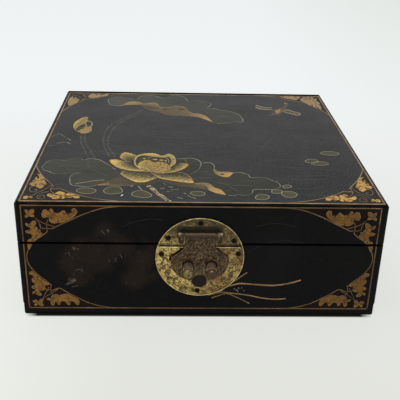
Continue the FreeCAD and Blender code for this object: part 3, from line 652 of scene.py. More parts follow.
# %% A tree's frame, and how it is run
def new_tree(name, sizes):
    """A geometry tree with a mesh input, named sizes and a material."""
    tree = bpy.data.node_groups.new(name, "GeometryNodeTree")
    face = tree.interface
    face.new_socket("Geometry", in_out="INPUT", socket_type="NodeSocketGeometry")
    for size, value in sizes.items():
        kind = "NodeSocketInt" if isinstance(value, int) else "NodeSocketFloat"
        face.new_socket(size, in_out="INPUT", socket_type=kind).default_value = value
    face.new_socket("Material", in_out="INPUT", socket_type="NodeSocketMaterial")
    face.new_socket("Geometry", in_out="OUTPUT", socket_type="NodeSocketGeometry")
    return tree, node(tree, "NodeGroupInput")


def end_tree(tree, entry, geometry):
    real = node(tree, "GeometryNodeRealizeInstances", {0: geometry})
    coated = node(tree, "GeometryNodeSetMaterial",
                  {"Geometry": out(real), "Material": out(entry, "Material")})
    node(tree, "NodeGroupOutput", {0: out(coated)})
    return tree


def grown(mesh, tree, material, **sizes):
    """Run a tree on a mesh, and return what it makes as a plain mesh."""
    carrier = bpy.data.objects.new("carrier", mesh)
    bpy.context.collection.objects.link(carrier)
    modifier = carrier.modifiers.new("tree", "NODES")
    modifier.node_group = tree
    values = {**sizes, "Material": material}
    for item in tree.interface.items_tree:
        if item.in_out == "INPUT" and item.name in values:
            modifier[item.identifier] = values[item.name]
    graph = bpy.context.evaluated_depsgraph_get()
    made = bpy.data.meshes.new_from_object(carrier.evaluated_get(graph), depsgraph=graph)
    bpy.data.objects.remove(carrier)
    return made


# %% The three trees
def sweep_tree(name, is_round):
    """Sweep a flat or a rounded section along lines. The taper attribute scales it."""
    tree, entry = new_tree(name, {"Width": 0.8, "Height": 0.04})
    curve = node(tree, "GeometryNodeMeshToCurve", {0: out(entry, "Geometry")})
    upright = node(tree, "GeometryNodeSetCurveNormal", {0: out(curve)}, mode="Z_UP")
    taper = node(tree, "GeometryNodeInputNamedAttribute", {"Name": "taper"}, data_type="FLOAT")
    sized = node(tree, "GeometryNodeSetCurveRadius",
                 {"Curve": out(upright), "Radius": out(taper, "Attribute")})
    width, doubled = out(entry, "Width"), times(out(entry, "Height"), 2.0)
    if is_round:
        ring = node(tree, "GeometryNodeCurvePrimitiveCircle", {"Resolution": 10, "Radius": 0.5})
        scale = node(tree, "ShaderNodeCombineXYZ", {0: width, 1: doubled, 2: 1.0})
        section = node(tree, "GeometryNodeTransform", {"Geometry": out(ring), "Scale": out(scale)})
    else:
        section = node(tree, "GeometryNodeCurvePrimitiveQuadrilateral",
                       {"Width": width, "Height": doubled})
    swept = node(tree, "GeometryNodeCurveToMesh",
                 {"Curve": out(sized), "Profile Curve": out(section), "Fill Caps": True})
    return end_tree(tree, entry, out(swept))


def jittered_dots(tree, entry, points):
    """Low, rounded dots with few faces, uneven in size."""
    radius, height = out(entry, "Radius"), out(entry, "Height")
    ball = node(tree, "GeometryNodeMeshUVSphere", {"Segments": 8, "Rings": 4, "Radius": 1.0})
    scale = node(tree, "ShaderNodeCombineXYZ", {0: radius, 1: radius, 2: height})
    flat = node(tree, "GeometryNodeTransform", {"Geometry": out(ball, "Mesh"), "Scale": out(scale)})
    size = node(tree, "FunctionNodeRandomValue",
                {"Min": 0.65, "Max": 1.25, "Seed": out(entry, "Seed")}, data_type="FLOAT")
    dots = node(tree, "GeometryNodeInstanceOnPoints",
                {"Points": points, "Instance": out(flat), "Scale": out(size)})
    return end_tree(tree, entry, out(dots))


def dot_tree():
    """Dots at even steps along a line."""
    tree, entry = new_tree("dots_along_line",
                           {"Spacing": 2.2, "Radius": 0.35, "Height": 0.05, "Seed": 1})
    curve = node(tree, "GeometryNodeMeshToCurve", {0: out(entry, "Geometry")})
    steps = node(tree, "GeometryNodeResampleCurve",
                 {"Curve": out(curve), "Length": out(entry, "Spacing")}, mode="LENGTH")
    points = node(tree, "GeometryNodeCurveToPoints", {"Curve": out(steps)}, mode="EVALUATED")
    return jittered_dots(tree, entry, out(points, "Points"))


def punch_tree():
    """Marks scattered over a patch, no two closer than the spacing."""
    tree, entry = new_tree("punch_marks", {"Spacing": 1.4, "Density": 0.5, "Radius": 0.25,
                                           "Height": 0.04, "Seed": 1})
    spread = node(tree, "GeometryNodeDistributePointsOnFaces",
                  {"Mesh": out(entry, "Geometry"), "Distance Min": out(entry, "Spacing"),
                   "Density Max": out(entry, "Density"), "Seed": out(entry, "Seed")},
                  distribute_method="POISSON")
    return jittered_dots(tree, entry, out(spread, "Points"))


flat_lines, round_lines = sweep_tree("flat_lines", False), sweep_tree("round_lines", True)
dots_along, punched = dot_tree(), punch_tree()
EVEN = (1, 1, 1)


def chains(strokes, taper=EVEN, rounded=True):
    """Strokes as chains of edges. The taper gives the width at the start, middle and end."""
    points, edges, sizes = [], [], []
    for stroke in strokes:
        line = smooth(stroke) if rounded else stroke
        first = len(points)
        points += [(*p, 0) for p in line]
        edges += [(i, i + 1) for i in range(first, len(points) - 1)]
        sizes += [along(taper, i / (len(line) - 1)) for i in range(len(line))]
    mesh = bpy.data.meshes.new("chains")
    mesh.from_pydata(points, edges, [])
    mesh.attributes.new("taper", "FLOAT", "POINT").data.foreach_set("value", sizes)
    return mesh


def drawn(strokes, coat, width, height, taper=EVEN, rounded=True, tree=flat_lines):
    """Swept lines as a plain mesh, still flat in millimetres."""
    return grown(chains(strokes, taper, rounded), tree, coat, Width=width, Height=height)


def punched_face(outline, coat, **sizes):
    """Marks scattered over a flat face."""
    face = bpy.data.meshes.new("face")
    face.from_pydata([(*p, 0) for p in outline], [], [list(range(len(outline)))])
    return grown(face, punched, coat, **sizes)


# %% [markdown]
# ## Setting paint on a face
# Walls are split by the seam, so what is painted across it is cut in two, one part for each body.
# Near the seam and near the bottom board the surface curves back, and the paint follows it: the
# mesh is cut at a few levels and its points are moved in. A texture would do this by itself, but
# cut meshes stay sharp and move with the lid. The drawings are a little too large for their faces,
# so each is first fitted to its face by one scale and shift, as a paper pattern is.

# %% Cut, bend and place a painted mesh
PATTERN_FIT = {
    "wall": Matrix.Translation((0.1, 0.6, 0)) @ Matrix.Diagonal((0.9925, 0.9936, 1, 1)),
    "top": Matrix.Translation((0.4, -1.2, 0)) @ Matrix.Diagonal((0.9945, 0.9954, 1, 1)),
}
WALL_PARTS = {"lid": (SEAM + 0.45, BOX_HEIGHT - 1.3), "base": (2.2, SEAM - 0.45)}
BACK_PARTS = {"lid": (SEAM + 5.0, BOX_HEIGHT - 1.3), "base": (2.2, SEAM - 5.0)}
BEND_LEVELS = (SEAM + 0.6, SEAM + 0.75, SEAM + 0.9, SEAM - 0.6, SEAM - 0.75, SEAM - 0.9,
               12.2, 11.9, 11.6, 11.3, 11.0, 10.8)


def wall_surface(level):
    """How far the wall's face lies back at a height: at the rims, and on the bottom board."""
    past = RIM_RADIUS - (abs(level - SEAM) - SEAM_GAP / 2)
    if 0 < past < RIM_RADIUS:
        return math.sqrt(RIM_RADIUS**2 - past**2) - RIM_RADIUS
    share = min(max((BOARD_TOP + RIM_RADIUS - level) / (2 * RIM_RADIUS), 0.0), 1.0)
    return -BOARD_INSET * share * share * (3 - 2 * share)


def cut_level(work, level, **clear):
    bmesh.ops.bisect_plane(work, geom=work.verts[:] + work.edges[:] + work.faces[:],
                           plane_co=(0, level, 0), plane_no=(0, 1, 0), **clear)


def placed(name, mesh, face, body, material, span=None):
    """One finished piece: the part of a painted mesh in a span of heights, set on a face."""
    work = bmesh.new()
    work.from_mesh(mesh)
    if span:
        for level, clear in ((span[0], {"clear_inner": True}), (span[1], {"clear_outer": True})):
            cut_level(work, level, **clear)
            bmesh.ops.holes_fill(work, edges=[e for e in work.edges if e.is_boundary], sides=0)
        for level in BEND_LEVELS:
            if span[0] < level < span[1]:
                cut_level(work, level)
        for vert in work.verts:
            vert.co.z += wall_surface(vert.co.y)
    bmesh.ops.dissolve_degenerate(work, dist=0.0005, edges=work.edges[:])
    bmesh.ops.triangulate(work, faces=work.faces[:])
    made = bpy.data.meshes.new(name)
    work.to_mesh(made)
    work.free()
    if not made.polygons:
        return
    made.transform(FACES[face] if isinstance(face, str) else face)
    made.materials.clear()
    made.materials.append(material)
    thing = bpy.data.objects.new(name, made)
    bpy.context.collection.objects.link(thing)
    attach(thing, body)
    print(f"{name}: {len(made.polygons)} faces on {body}")


def on_wall(name, mesh, face, material):
    """Set a mesh that may cross the seam on a wall, one piece for the lid and one for the base."""
    mesh.transform(PATTERN_FIT["wall"])
    for body, span in (BACK_PARTS if face == "back" else WALL_PARTS).items():
        placed(f"{name}_{face}_{body}", mesh, face, body, material, span)


def on_lid(name, mesh, material):
    mesh.transform(PATTERN_FIT["top"])
    placed(f"{name}_lid_top", mesh, "top", "lid", material)


def wall_lines(name, face, strokes, coat, *look, **how):
    """Swept lines on a wall: width, height, and the taper where there is one."""
    on_wall(name, drawn(strokes, coat, *look, **how), face, coat)


def lid_lines(name, strokes, coat, *look, slot="pond_paint", **how):
    on_lid(name, drawn(strokes, coat, *look, **how), coat)


def lid_dots(name, lines, coat, spacing, radius, height, seed):
    on_lid(name, grown(chains(lines), dots_along, coat, Spacing=spacing, Radius=radius,
                       Height=height, Seed=seed), coat)


# %% [markdown]
# ## Corner sprays on the walls
# Each wall has a gold border and a cusped oval, and the four corners between them are filled with
# leaves on crossing stems, on a slightly redder ground. Front, sides and back share this
# ornament. It is drawn once for the left end and mirrored for the right.

# %% Outlines of the wall ornament, seen from outside
BORDER = {"left": -146, "right": 146, "top": 103.2, "bottom": 6.2}
RIGHT_INWARD = 1.2
UPPER_LINE = [(-68, 103.1), (-79.5, 101.5), (-88, 99), (-95.5, 96), (-101, 93.5), (-106.5, 90.5),
    (-112, 87.7), (-117, 85.2), (-122, 82.5)]
END_LINE = [(-126, 80), (-128.5, 77.5), (-132, 75), (-135.5, 72.5), (-138.5, 69), (-141, 65.5),
    (-143.2, 61.5), (-144.3, 57), (-144.2, 52), (-142.5, 47.5), (-139.5, 42.5), (-135.5, 38),
    (-131, 34), (-126, 29)]
LOWER_LINE = [(-125, 24), (-119.5, 26), (-115.5, 23.7), (-110.5, 20.2), (-104.5, 16.7),
    (-99.5, 13.6), (-92.5, 10.3), (-86, 8.2), (-76, 6.4)]
UPPER_STEMS = [
    [(-136, 93), (-130.5, 88.5), (-125, 86), (-120, 84.6)],
    [(-136, 93), (-133, 89.5), (-131.5, 86), (-130.5, 83), (-122, 82.5)],
    [(-124.8, 90.5), (-126, 87.5), (-126.2, 84), (-126, 80)],
]
LOWER_STEMS = [
    [(-132, 25), (-128, 24.2), (-125, 24), (-119.5, 26)],
    [(-126, 29), (-127, 25), (-126, 21), (-124, 18.5)],
    [(-128, 27.5), (-130.5, 22.5), (-133, 18), (-135, 14.5)],
    [(-119.5, 26), (-125, 22), (-131.5, 17.5), (-135, 14)],
]
UPPER_LEAVES = [
    [(-129.5, 95), (-128, 99), (-126, 99.5), (-124, 98.2), (-121.5, 100.5), (-119.5, 97.5),
     (-116, 96.5), (-112, 99), (-110, 96.5), (-107.5, 95.8), (-105.3, 97.2), (-105.2, 99.8),
     (-103, 100.8), (-101.3, 98.5), (-102.3, 95.5), (-105.5, 92.5), (-110.5, 89.5), (-114.5, 87.7),
     (-117, 88.2), (-119.5, 87.2), (-122, 88), (-124, 90), (-123.2, 92), (-126, 92.7),
     (-128.5, 92.5)],
    [(-142.5, 99.3), (-141, 99), (-139.5, 98), (-137.5, 99.7), (-135.3, 99.5), (-135.5, 97),
     (-136.5, 95.5), (-135.5, 93.3), (-138, 93.2), (-139.5, 93.8), (-142.3, 92.3), (-143, 93.6),
     (-141.5, 95.5), (-142.2, 97)],
    [(-143, 87.5), (-141, 86.5), (-139, 87), (-137.5, 88.7), (-135.5, 89.6), (-134.5, 88),
     (-135.5, 84.8), (-134, 83.3), (-133.3, 81.5), (-131.3, 81.2), (-132, 79.2), (-130.4, 78),
     (-132, 76), (-134.8, 73.5), (-137.8, 70.6), (-139.5, 67.6), (-142, 63), (-142.8, 66.5),
     (-142.5, 70.5), (-142, 72), (-139.7, 73.2), (-138.2, 76), (-139.7, 78), (-142.3, 78.4),
     (-143.4, 80), (-141, 81), (-139.3, 82), (-140.3, 84), (-142.5, 85)],
]
LOWER_LEAVES = [
    [(-143.5, 41.5), (-140.5, 42), (-136.8, 37.8), (-133.5, 34.2), (-129.2, 31), (-128, 29.5),
     (-130.5, 29), (-131.8, 27), (-131, 25.3), (-133, 24), (-135.3, 24), (-136, 22), (-134.8, 20),
     (-136, 18.8), (-138.5, 19.5), (-140, 21), (-142, 20.4), (-142.5, 22), (-140.5, 23.2),
     (-139.8, 25), (-142, 26), (-142.2, 27.6), (-140.5, 28.6), (-139.6, 30.6), (-141.5, 32.2),
     (-141.7, 35), (-140.3, 36.5), (-141.2, 38.8), (-143.2, 39.8)],
    [(-131, 15), (-129, 16.2), (-127, 15.5), (-126.6, 18), (-125, 19.2), (-122.5, 20), (-120, 19),
     (-115.5, 20.2), (-112.5, 20), (-108.5, 17.7), (-104.7, 15.5), (-103.4, 12.3), (-104.3, 9.3),
     (-106.2, 9.8), (-107.6, 12.4), (-109.2, 12.7), (-111, 12), (-112, 9.3), (-113.7, 9.8),
     (-114.8, 12), (-117, 13.2), (-119, 12.2), (-120.3, 9.4), (-121.7, 9.8), (-122.7, 12),
     (-124.2, 12), (-125.4, 9), (-127.2, 9), (-127.8, 11.2), (-127, 13.2), (-129, 14)],
    [(-142.5, 13.5), (-139.7, 14.2), (-138, 12.6), (-136, 15), (-133.8, 14.7), (-134.8, 11.6),
     (-134.3, 8.4), (-136.4, 8), (-138.4, 9.6), (-140.6, 8), (-141.8, 9), (-140.6, 11),
     (-142.3, 12)],
]
LEAF_VEINS = [
    [(-127, 94), (-121, 95), (-114, 92.5), (-107, 93.5), (-103.5, 98)], [(-119, 95), (-119.5, 98)],
    [(-113, 92.6), (-111.5, 96.4)], [(-112, 92.6), (-114, 89.6)],
    [(-141, 97.5), (-138.5, 95.5), (-136, 96.5)],
    [(-141, 68), (-138, 73), (-134.5, 77.5), (-136.5, 84), (-139.5, 86)],
    [(-136.2, 76), (-133.4, 76.6)], [(-135.2, 80), (-132.6, 80.4)],
    [(-141.5, 40), (-137.5, 36), (-134, 31), (-134.5, 26), (-138.5, 22)],
    [(-137, 35.4), (-138.6, 31.5)], [(-134, 29.5), (-131, 28)],
    [(-129, 14.6), (-121.5, 16.5), (-113.5, 15.8), (-107, 15.2), (-105, 11.5)],
    [(-120.5, 16.4), (-121, 13)], [(-113, 15.8), (-113.2, 12.4)],
    [(-141, 10), (-138, 11.5), (-136, 10)],
]


# %% Cuts in the leaves
def clefts(leaf):
    """Short cuts from the hollows of a leaf's outline towards its middle."""
    spots = [Vector(p) for p in leaf]
    middle = sum(spots, Vector((0, 0))) / len(spots)
    turns = [(b - a).cross(c - b) for a, b, c in zip(spots[-1:] + spots[:-1], spots,
                                                     spots[1:] + spots[:1])]
    way = 1 if sum(turns) > 0 else -1
    return [[tuple(b), tuple(b.lerp(middle, 0.25)), tuple(b.lerp(middle, 0.5))]
            for b, turn in zip(spots, turns) if turn * way < 0]


def closed(outlines):
    """The same outlines as strokes that end where they start."""
    return [outline + outline[:1] for outline in outlines]


# %% Paint the four walls
HINGE_CLEAR = {"left": (4.0, 0.0), "right": (0.0, 4.0)}


def wall_ornament(face, shift):
    """A wall's ornament, moved out by the shift on a longer wall, and its seam's painted shadow."""
    def both_ends(shapes):
        return ([[(x - shift, y) for x, y in shape] for shape in shapes]
                + [[(shift - x - RIGHT_INWARD, y) for x, y in shape] for shape in shapes])

    left, right = BORDER["left"] - shift, BORDER["right"] + shift - RIGHT_INWARD
    top, bottom = BORDER["top"], BORDER["bottom"]
    borders = [[(left - 0.4, level), (right + 0.4, level)] for level in (top, bottom)]
    borders += [[(x, bottom), (x, top)] for x in (left, right)]
    corner = [(BORDER["left"], top), (BORDER["left"], bottom)]
    corner += [tuple(p) for line in (LOWER_LINE, END_LINE, UPPER_LINE) for p in smooth(line[::-1])]
    leaves = both_ends(UPPER_LEAVES + LOWER_LEAVES)
    cuts = [cut[:2] for leaf in leaves for cut in clefts(leaf)]
    on_wall("corner_ground", painted(both_ends([corner]), 0.012, rounded=False), face,
            spandrel_ground)
    on_wall("corner_leaves", painted(leaves, 0.035), face, leaf_gold)
    wall_lines("leaf_edges", face, closed(leaves), leaf_edge, 0.45, 0.045)
    wall_lines("leaf_veins", face, both_ends(LEAF_VEINS), leaf_vein, 0.4, 0.048, (1.0, 0.8, 0.3))
    wall_lines("leaf_clefts", face, cuts, cleft_brown, 0.8, 0.05, (1.0, 0.6, 0.2))
    wall_lines("border", face, borders, line_gold, 1.0, 0.03, rounded=False)
    wall_lines("oval", face, both_ends([UPPER_LINE, END_LINE, LOWER_LINE]), line_gold, 0.85, 0.04)
    wall_lines("stems", face, both_ends(UPPER_STEMS + LOWER_STEMS), line_gold, 0.55, 0.045)
    # A black strip along the seam, on lid and base, is a painted shadow of the gap between them.
    if face != "back":
        clear = HINGE_CLEAR.get(face, (0.0, 0.0))
        seam = [[(left - 1.8 + clear[0], SEAM), (right + 1.8 - clear[1], SEAM)]]
        shade = drawn(seam, seam_shadow, 2.1, 0.055, rounded=False)
        for body, span in WALL_PARTS.items():
            placed(f"seam_shadow_line_{face}_{body}", shade, face, body, seam_shadow,
                   span)


for face in ("front", "back", "left", "right"):
    wall_ornament(face, 0 if face in ("front", "back") else HALF_DEPTH - HALF_WIDTH)

# %% [markdown]
# ## Lacquer over the bottom joint and the lid's edge
# The bottom board is a little smaller than the walls. Lacquer fills that joint along each side
# and has cracked only near the corners, where the joint shows. A strip with a curved section
# stands for it: a bevel on the boards would leave a groove all the way. A second strip lies along
# the lid's upper edge at front and back, where the lacquer has kept its deep black.

# %% Strips of lacquer along the bottom joint and the lid's edge
def lacquer_strip(name, face, body, half_length, section, coat):
    """A closed strip along a wall, from its section as pairs of height and depth."""
    count, strip = len(section), bpy.data.meshes.new("strip")
    faces = [[i, (i + 1) % count, count + (i + 1) % count, count + i] for i in range(count)]
    faces += [list(range(count))[::-1], list(range(count, 2 * count))]
    strip.from_pydata([(x, *spot) for x in (-half_length, half_length) for spot in section], [],
                      faces)
    placed(f"{name}_{face}", strip, face, body, coat)


joint_levels = [BOARD_TOP + 0.75 - 0.15 * i for i in range(11)]
joint = [(level, wall_surface(level) + 0.012) for level in joint_levels]
joint += [(joint_levels[-1], -0.9), (joint_levels[0], -0.9)]
TOP_RADIUS = 1.2
turns = [math.radians(5 + 10 * k) for k in range(9)]
edge = [(BOX_HEIGHT - TOP_RADIUS + reach * math.sin(a), reach * math.cos(a) - TOP_RADIUS)
        for reach, order in ((TOP_RADIUS + 0.012, turns[::-1]), (TOP_RADIUS - 0.3, turns))
        for a in order]
for face, half_length in (("front", 146.3), ("back", 146.3), ("left", 151.3), ("right", 151.3)):
    lacquer_strip("joint_lacquer", face, "base", half_length, joint,
                  front_lacquer if face == "front" else wall_lacquer)
for face in ("front", "back"):
    lacquer_strip("edge_lacquer", face, "lid", 148.2, edge, rim_lacquer)

# %% [markdown]
# ## Grass and flowers on the front
# Long blades of grass in dull gold sweep to the right from under the lock plate. Each is one
# stroke that swells and thins, which a taper on the swept line gives without a modelled blade.

# %% Blades of grass and their small flowers
BLADES = [
    ([(6, 20), (15.5, 23.5), (21.5, 28), (26.5, 30), (32.5, 31.5), (41.5, 31), (50, 30.3),
     (58.5, 29.8), (65.5, 30.2), (74, 31.8), (79.5, 33.4), (84.5, 35.2)], 1.4, (0.7, 1.0, 0.2)),
    ([(23, 28.5), (24, 31.5), (29.5, 35), (34, 39), (38.5, 42.5)], 0.8, (0.9, 0.7, 0.4)),
    ([(10, 20.5), (17.5, 22.8), (24.5, 22), (33, 21), (42, 19.6), (50, 17.6), (59.5, 16.2),
     (66, 16), (73, 16.6)], 1.1, (0.6, 1.0, 0.3)),
    ([(9, 17), (15.5, 19.5), (22, 21.5), (28.5, 18.8), (36, 15), (42, 11.5)], 0.8, (0.6, 1.0, 0.4)),
    ([(13, 23), (16, 27), (17, 31)], 0.7, (1.0, 0.7, 0.3)),
]
for number, (blade, width, taper) in enumerate(BLADES, start=1):
    wall_lines(f"grass_{number}", "front", [blade], grass_gold, width, 0.05, taper)
FLOWERS = ((28.5, 26, 0.9), (30.5, 25, 1.1), (32, 27, 0.8), (34.5, 27.2, 0.7), (31.5, 23.4, 0.7),
           (36.5, 24.6, 0.6))
flowers = [ellipse(x, y, size, 0.6 * size, (0.3, 1.4, 2.5, 3.9, 5.1)) for x, y, size in FLOWERS]
on_wall("grass_flowers", painted(flowers, 0.04), "front", pale_line)

# %% [markdown]
# ## What is left of the worn picture
# A few strokes of the worn picture still show: pale streaks where the paint has flaked, one
# brighter chip shaped like a leaf, and a faint arc near the upper border.

# %% Streaks, chip and arcs
WORN_STREAKS = [
    [(-107, 66.5), (-105.5, 63)], [(-106, 66), (-104, 63)], [(-103, 64.5), (-101.5, 63.5)],
    [(-110.5, 61), (-108.5, 57)], [(-107.5, 57), (-106.5, 54.5)], [(-113, 59), (-111.5, 60)],
    [(-82.5, 81.5), (-79.5, 77.5)], [(-78, 82.5), (-76.5, 79)], [(-77, 82.5), (-76, 80)],
    [(-78, 55.5), (-76.5, 51.5)], [(-72, 56.5), (-71, 52)], [(-72.5, 52), (-70.5, 55.5)],
    [(-68, 59.5), (-66, 55.5)], [(-109, 27.5), (-105.5, 28), (-104, 29)],
    [(-105.5, 43.5), (-101.5, 44.5), (-99, 42)], [(-112, 34), (-109.5, 36.5)],
]
FAINT_ARCS = [
    [(-102, 30), (-98.5, 31.5), (-95, 32.5)],
    [(-65.5, 84.5), (-59, 88), (-51, 90.5), (-41.5, 92), (-33, 91)],
    [(38, 62), (52, 70), (68, 73), (84, 71)], [(44, 86), (60, 89), (76, 86)],
]
LEAF_CHIP = [(-114.5, 29.5), (-111, 33), (-107.5, 36), (-105, 34.5), (-106, 33), (-109.5, 30.5),
             (-114, 29)]
wall_lines("worn_streaks", "front", WORN_STREAKS, worn_light, 0.55, 0.02, (0.7, 1.0, 0.4))
wall_lines("faint_arcs", "front", FAINT_ARCS, faint_arc, 0.8, 0.015, (0.4, 1.0, 0.4))
on_wall("leaf_chip", painted([LEAF_CHIP], 0.02), "front", worn_light)

# %% [markdown]
# ## The lid's border and corners
# The lid repeats the oval with cusps, and its corners hold the same kind of leaves with small
# scrolls. The lid is seen from low down, so the points are real millimetres on the lid, and the
# view foreshortens them by itself. Outside the border the lacquer has kept its black, which a thin
# coat of its own shows better than a change in the lid's bloom.

# %% Outlines of the lid's corner ornament, for the front left and back left corners
LID_BORDER = {"left": -147.5, "right": 147.5, "front": -150, "back": 148.5}
FRONT_OVAL = [
    [(-147.5, -38), (-147.5, -56), (-147, -71), (-146.5, -78), (-141.5, -91.5), (-136, -102.5),
     (-131, -110.5), (-126.5, -118), (-125, -121)],
    [(-127, -127), (-122, -126.5), (-118, -126.5), (-113, -131), (-107.5, -134.5), (-101, -138.5),
     (-92, -143), (-81, -146.6), (-69, -149)],
]
FRONT_STEMS = [
    [(-139, -140.5), (-136, -134.5), (-132, -129.5), (-129, -124), (-128, -121), (-126.5, -119)],
    [(-126.5, -124), (-126, -129), (-124, -133), (-122, -136)],
    [(-128.5, -118), (-126, -122), (-126.5, -125), (-123, -126.5)],
    [(-142, -121.5), (-143.5, -124.5), (-143, -129.5), (-141, -132.5), (-138, -132.5),
     (-137, -129.5), (-138, -128), (-139.5, -129)],
    [(-127, -132), (-132, -134.5), (-134.5, -139.5), (-134.5, -143), (-132.5, -146),
     (-129.5, -145.5), (-128.5, -142.5), (-130.5, -139), (-132.5, -140), (-132.5, -143)],
]
FRONT_LEAVES = [
    [(-143.5, -95), (-139.5, -96), (-137, -100), (-135, -106.5), (-132.5, -113), (-131, -117),
     (-132.5, -119), (-133, -123.5), (-135, -126.5), (-138, -123.5), (-140, -121.5), (-143, -120.5),
     (-145.5, -117.5), (-145, -114.5), (-143, -113), (-144.5, -110), (-143, -108), (-143, -102.5),
     (-141.5, -100.5), (-141.5, -98)],
    [(-145.5, -145.5), (-145.5, -141.5), (-143, -140.5), (-141.5, -142), (-140, -140),
     (-138, -142.5), (-138, -145.5), (-141, -144.5), (-143, -146.5)],
    [(-127.5, -139), (-126.5, -135), (-123.5, -137), (-122, -136), (-120, -132.5), (-118, -131),
     (-114.5, -133), (-112.5, -136), (-110, -134.5), (-106.5, -135.5), (-103, -138.5),
     (-100.5, -140.5), (-100.5, -144), (-104, -144.5), (-106, -142), (-108, -143.5),
     (-111.5, -142.5), (-113.5, -146), (-116, -144.5), (-119, -146.5), (-121.5, -145.5),
     (-123.5, -143), (-125, -142)],
]
BACK_OVAL = [
    [(-147, 77), (-143, 91), (-138, 103), (-132.5, 114), (-128.5, 121.5), (-125.5, 125.5)],
    [(-125.5, 125.5), (-118, 127), (-108, 133), (-100, 139.5), (-89, 145.5), (-76, 148.4)],
]
BACK_STEMS = [
    [(-129, 117), (-131.5, 127), (-136, 135), (-142, 139), (-144.5, 142)],
    [(-129, 121), (-128, 130), (-129.5, 138), (-133, 144), (-138, 146)],
    [(-127, 134), (-131, 137.5), (-129.5, 142), (-125.5, 141)],
]
BACK_LEAVES = [
    [(-145, 108), (-145.8, 120), (-145.4, 128), (-142.6, 134), (-141, 129), (-138, 130.6),
     (-136.6, 125.6), (-133.6, 124), (-133.8, 118), (-135, 110), (-138.6, 102), (-142.6, 98)],
    [(-125.6, 134.6), (-124, 142), (-120.4, 146.4), (-117, 143.6), (-113, 146.4), (-109, 143),
     (-104, 146.6), (-101.3, 143.6), (-103.4, 138.6), (-109, 134.4), (-115, 129.6), (-122, 128.2)],
]
BACK_RIGHT_LEAVES = [
    [(99.5, 147), (104, 146), (107, 147.8), (112, 146.5), (116, 147.8), (120, 145.5),
     (124.5, 146.5), (124, 141), (122, 137.5), (119.5, 133), (116.5, 132), (112.5, 135), (109, 137),
     (106, 139.5), (103.5, 142)],
    [(123, 133.5), (125, 139), (127.5, 141), (129, 145.5), (132, 143), (134, 147), (136.5, 143.5),
     (139.5, 146), (141, 140), (143.5, 136), (142, 130.5), (144.5, 122), (142.5, 115), (143.5, 106),
     (141.5, 97), (139.5, 99.5), (137, 102.5), (133.5, 109), (129.5, 116), (126, 124)],
]


# %% Paint the lid's border, oval and corner leaves
def mirrored(shapes):
    return shapes + [[(-x, y) for x, y in shape] for shape in shapes]


def oblong(x_a, x_b, y_a, y_b):
    return [(x_a, y_a), (x_b, y_a), (x_b, y_b), (x_a, y_b)]


LID_LEAVES = mirrored(FRONT_LEAVES) + BACK_LEAVES + BACK_RIGHT_LEAVES
left, right, front, back = LID_BORDER.values()
borders = [[(left - 0.5, y), (right + 0.5, y)] for y in (front, back)]
side_borders = [[(x, front), (x, back)] for x in (left, right)]
corners = []
for flip in (1, -1):
    for oval, y_end in ((FRONT_OVAL, front), (BACK_OVAL, back)):
        corner = [(left, y_end)] + [tuple(p) for line in oval for p in smooth(line)]
        corners.append([(flip * x, y) for x, y in corner])
FLAT_WIDTH, FLAT_DEPTH = 148.7, 153.7
to_left, to_front, _ = PATTERN_FIT["top"] @ Vector((left, front, 0))
to_right, to_back, _ = PATTERN_FIT["top"] @ Vector((right, back, 0))
lid_rim = [oblong(-FLAT_WIDTH, FLAT_WIDTH, -FLAT_DEPTH, to_front),
           oblong(-FLAT_WIDTH, FLAT_WIDTH, to_back, FLAT_DEPTH)]
side_rim = [oblong(-FLAT_WIDTH, to_left, to_front, to_back),
            oblong(to_right, FLAT_WIDTH, to_front, to_back)]
for name, rim, coat in (("rim_lid_top", lid_rim, rim_lacquer),
                        ("rim_lid_sides", side_rim, lid_ground_coat)):
    placed(name, painted(rim, 0.008, rounded=False), "top", "lid", coat)
on_lid("corner_ground", painted(corners, 0.012, rounded=False), lid_ground_coat)
on_lid("corner_leaves", painted(LID_LEAVES, 0.035, rounded=False), lid_leaf)
cuts = [cut for leaf in LID_LEAVES for cut in clefts(leaf)]
for name, strokes, coat, width, height, taper, rounded in (
        ("leaf_clefts", cuts, cleft_brown, 1.1, 0.045, (1.0, 0.7, 0.3), True),
        ("border", borders, lid_line_gold, 1.9, 0.03, EVEN, False),
        ("side_border", side_borders, lid_line_gold, 1.2, 0.028, EVEN, False),
        ("oval", mirrored(FRONT_OVAL + BACK_OVAL), lid_line_gold, 0.8, 0.04, EVEN, True),
        ("stems", mirrored(FRONT_STEMS + BACK_STEMS), lid_line_gold, 0.5, 0.045, EVEN, True)):
    lid_lines(name, strokes, coat, width, height, taper, rounded, slot="gold_paint")

# %% [markdown]
# ## The lotus pond: leaves
# The leaves are broad and folded. Each is a thin green patch with a pale outline and veins, and
# its turned-over edge is a strip that shades from gold to brown. Painting order is height: each
# coat stands a few thousandths of a millimetre above the last, so nothing fights for a surface.

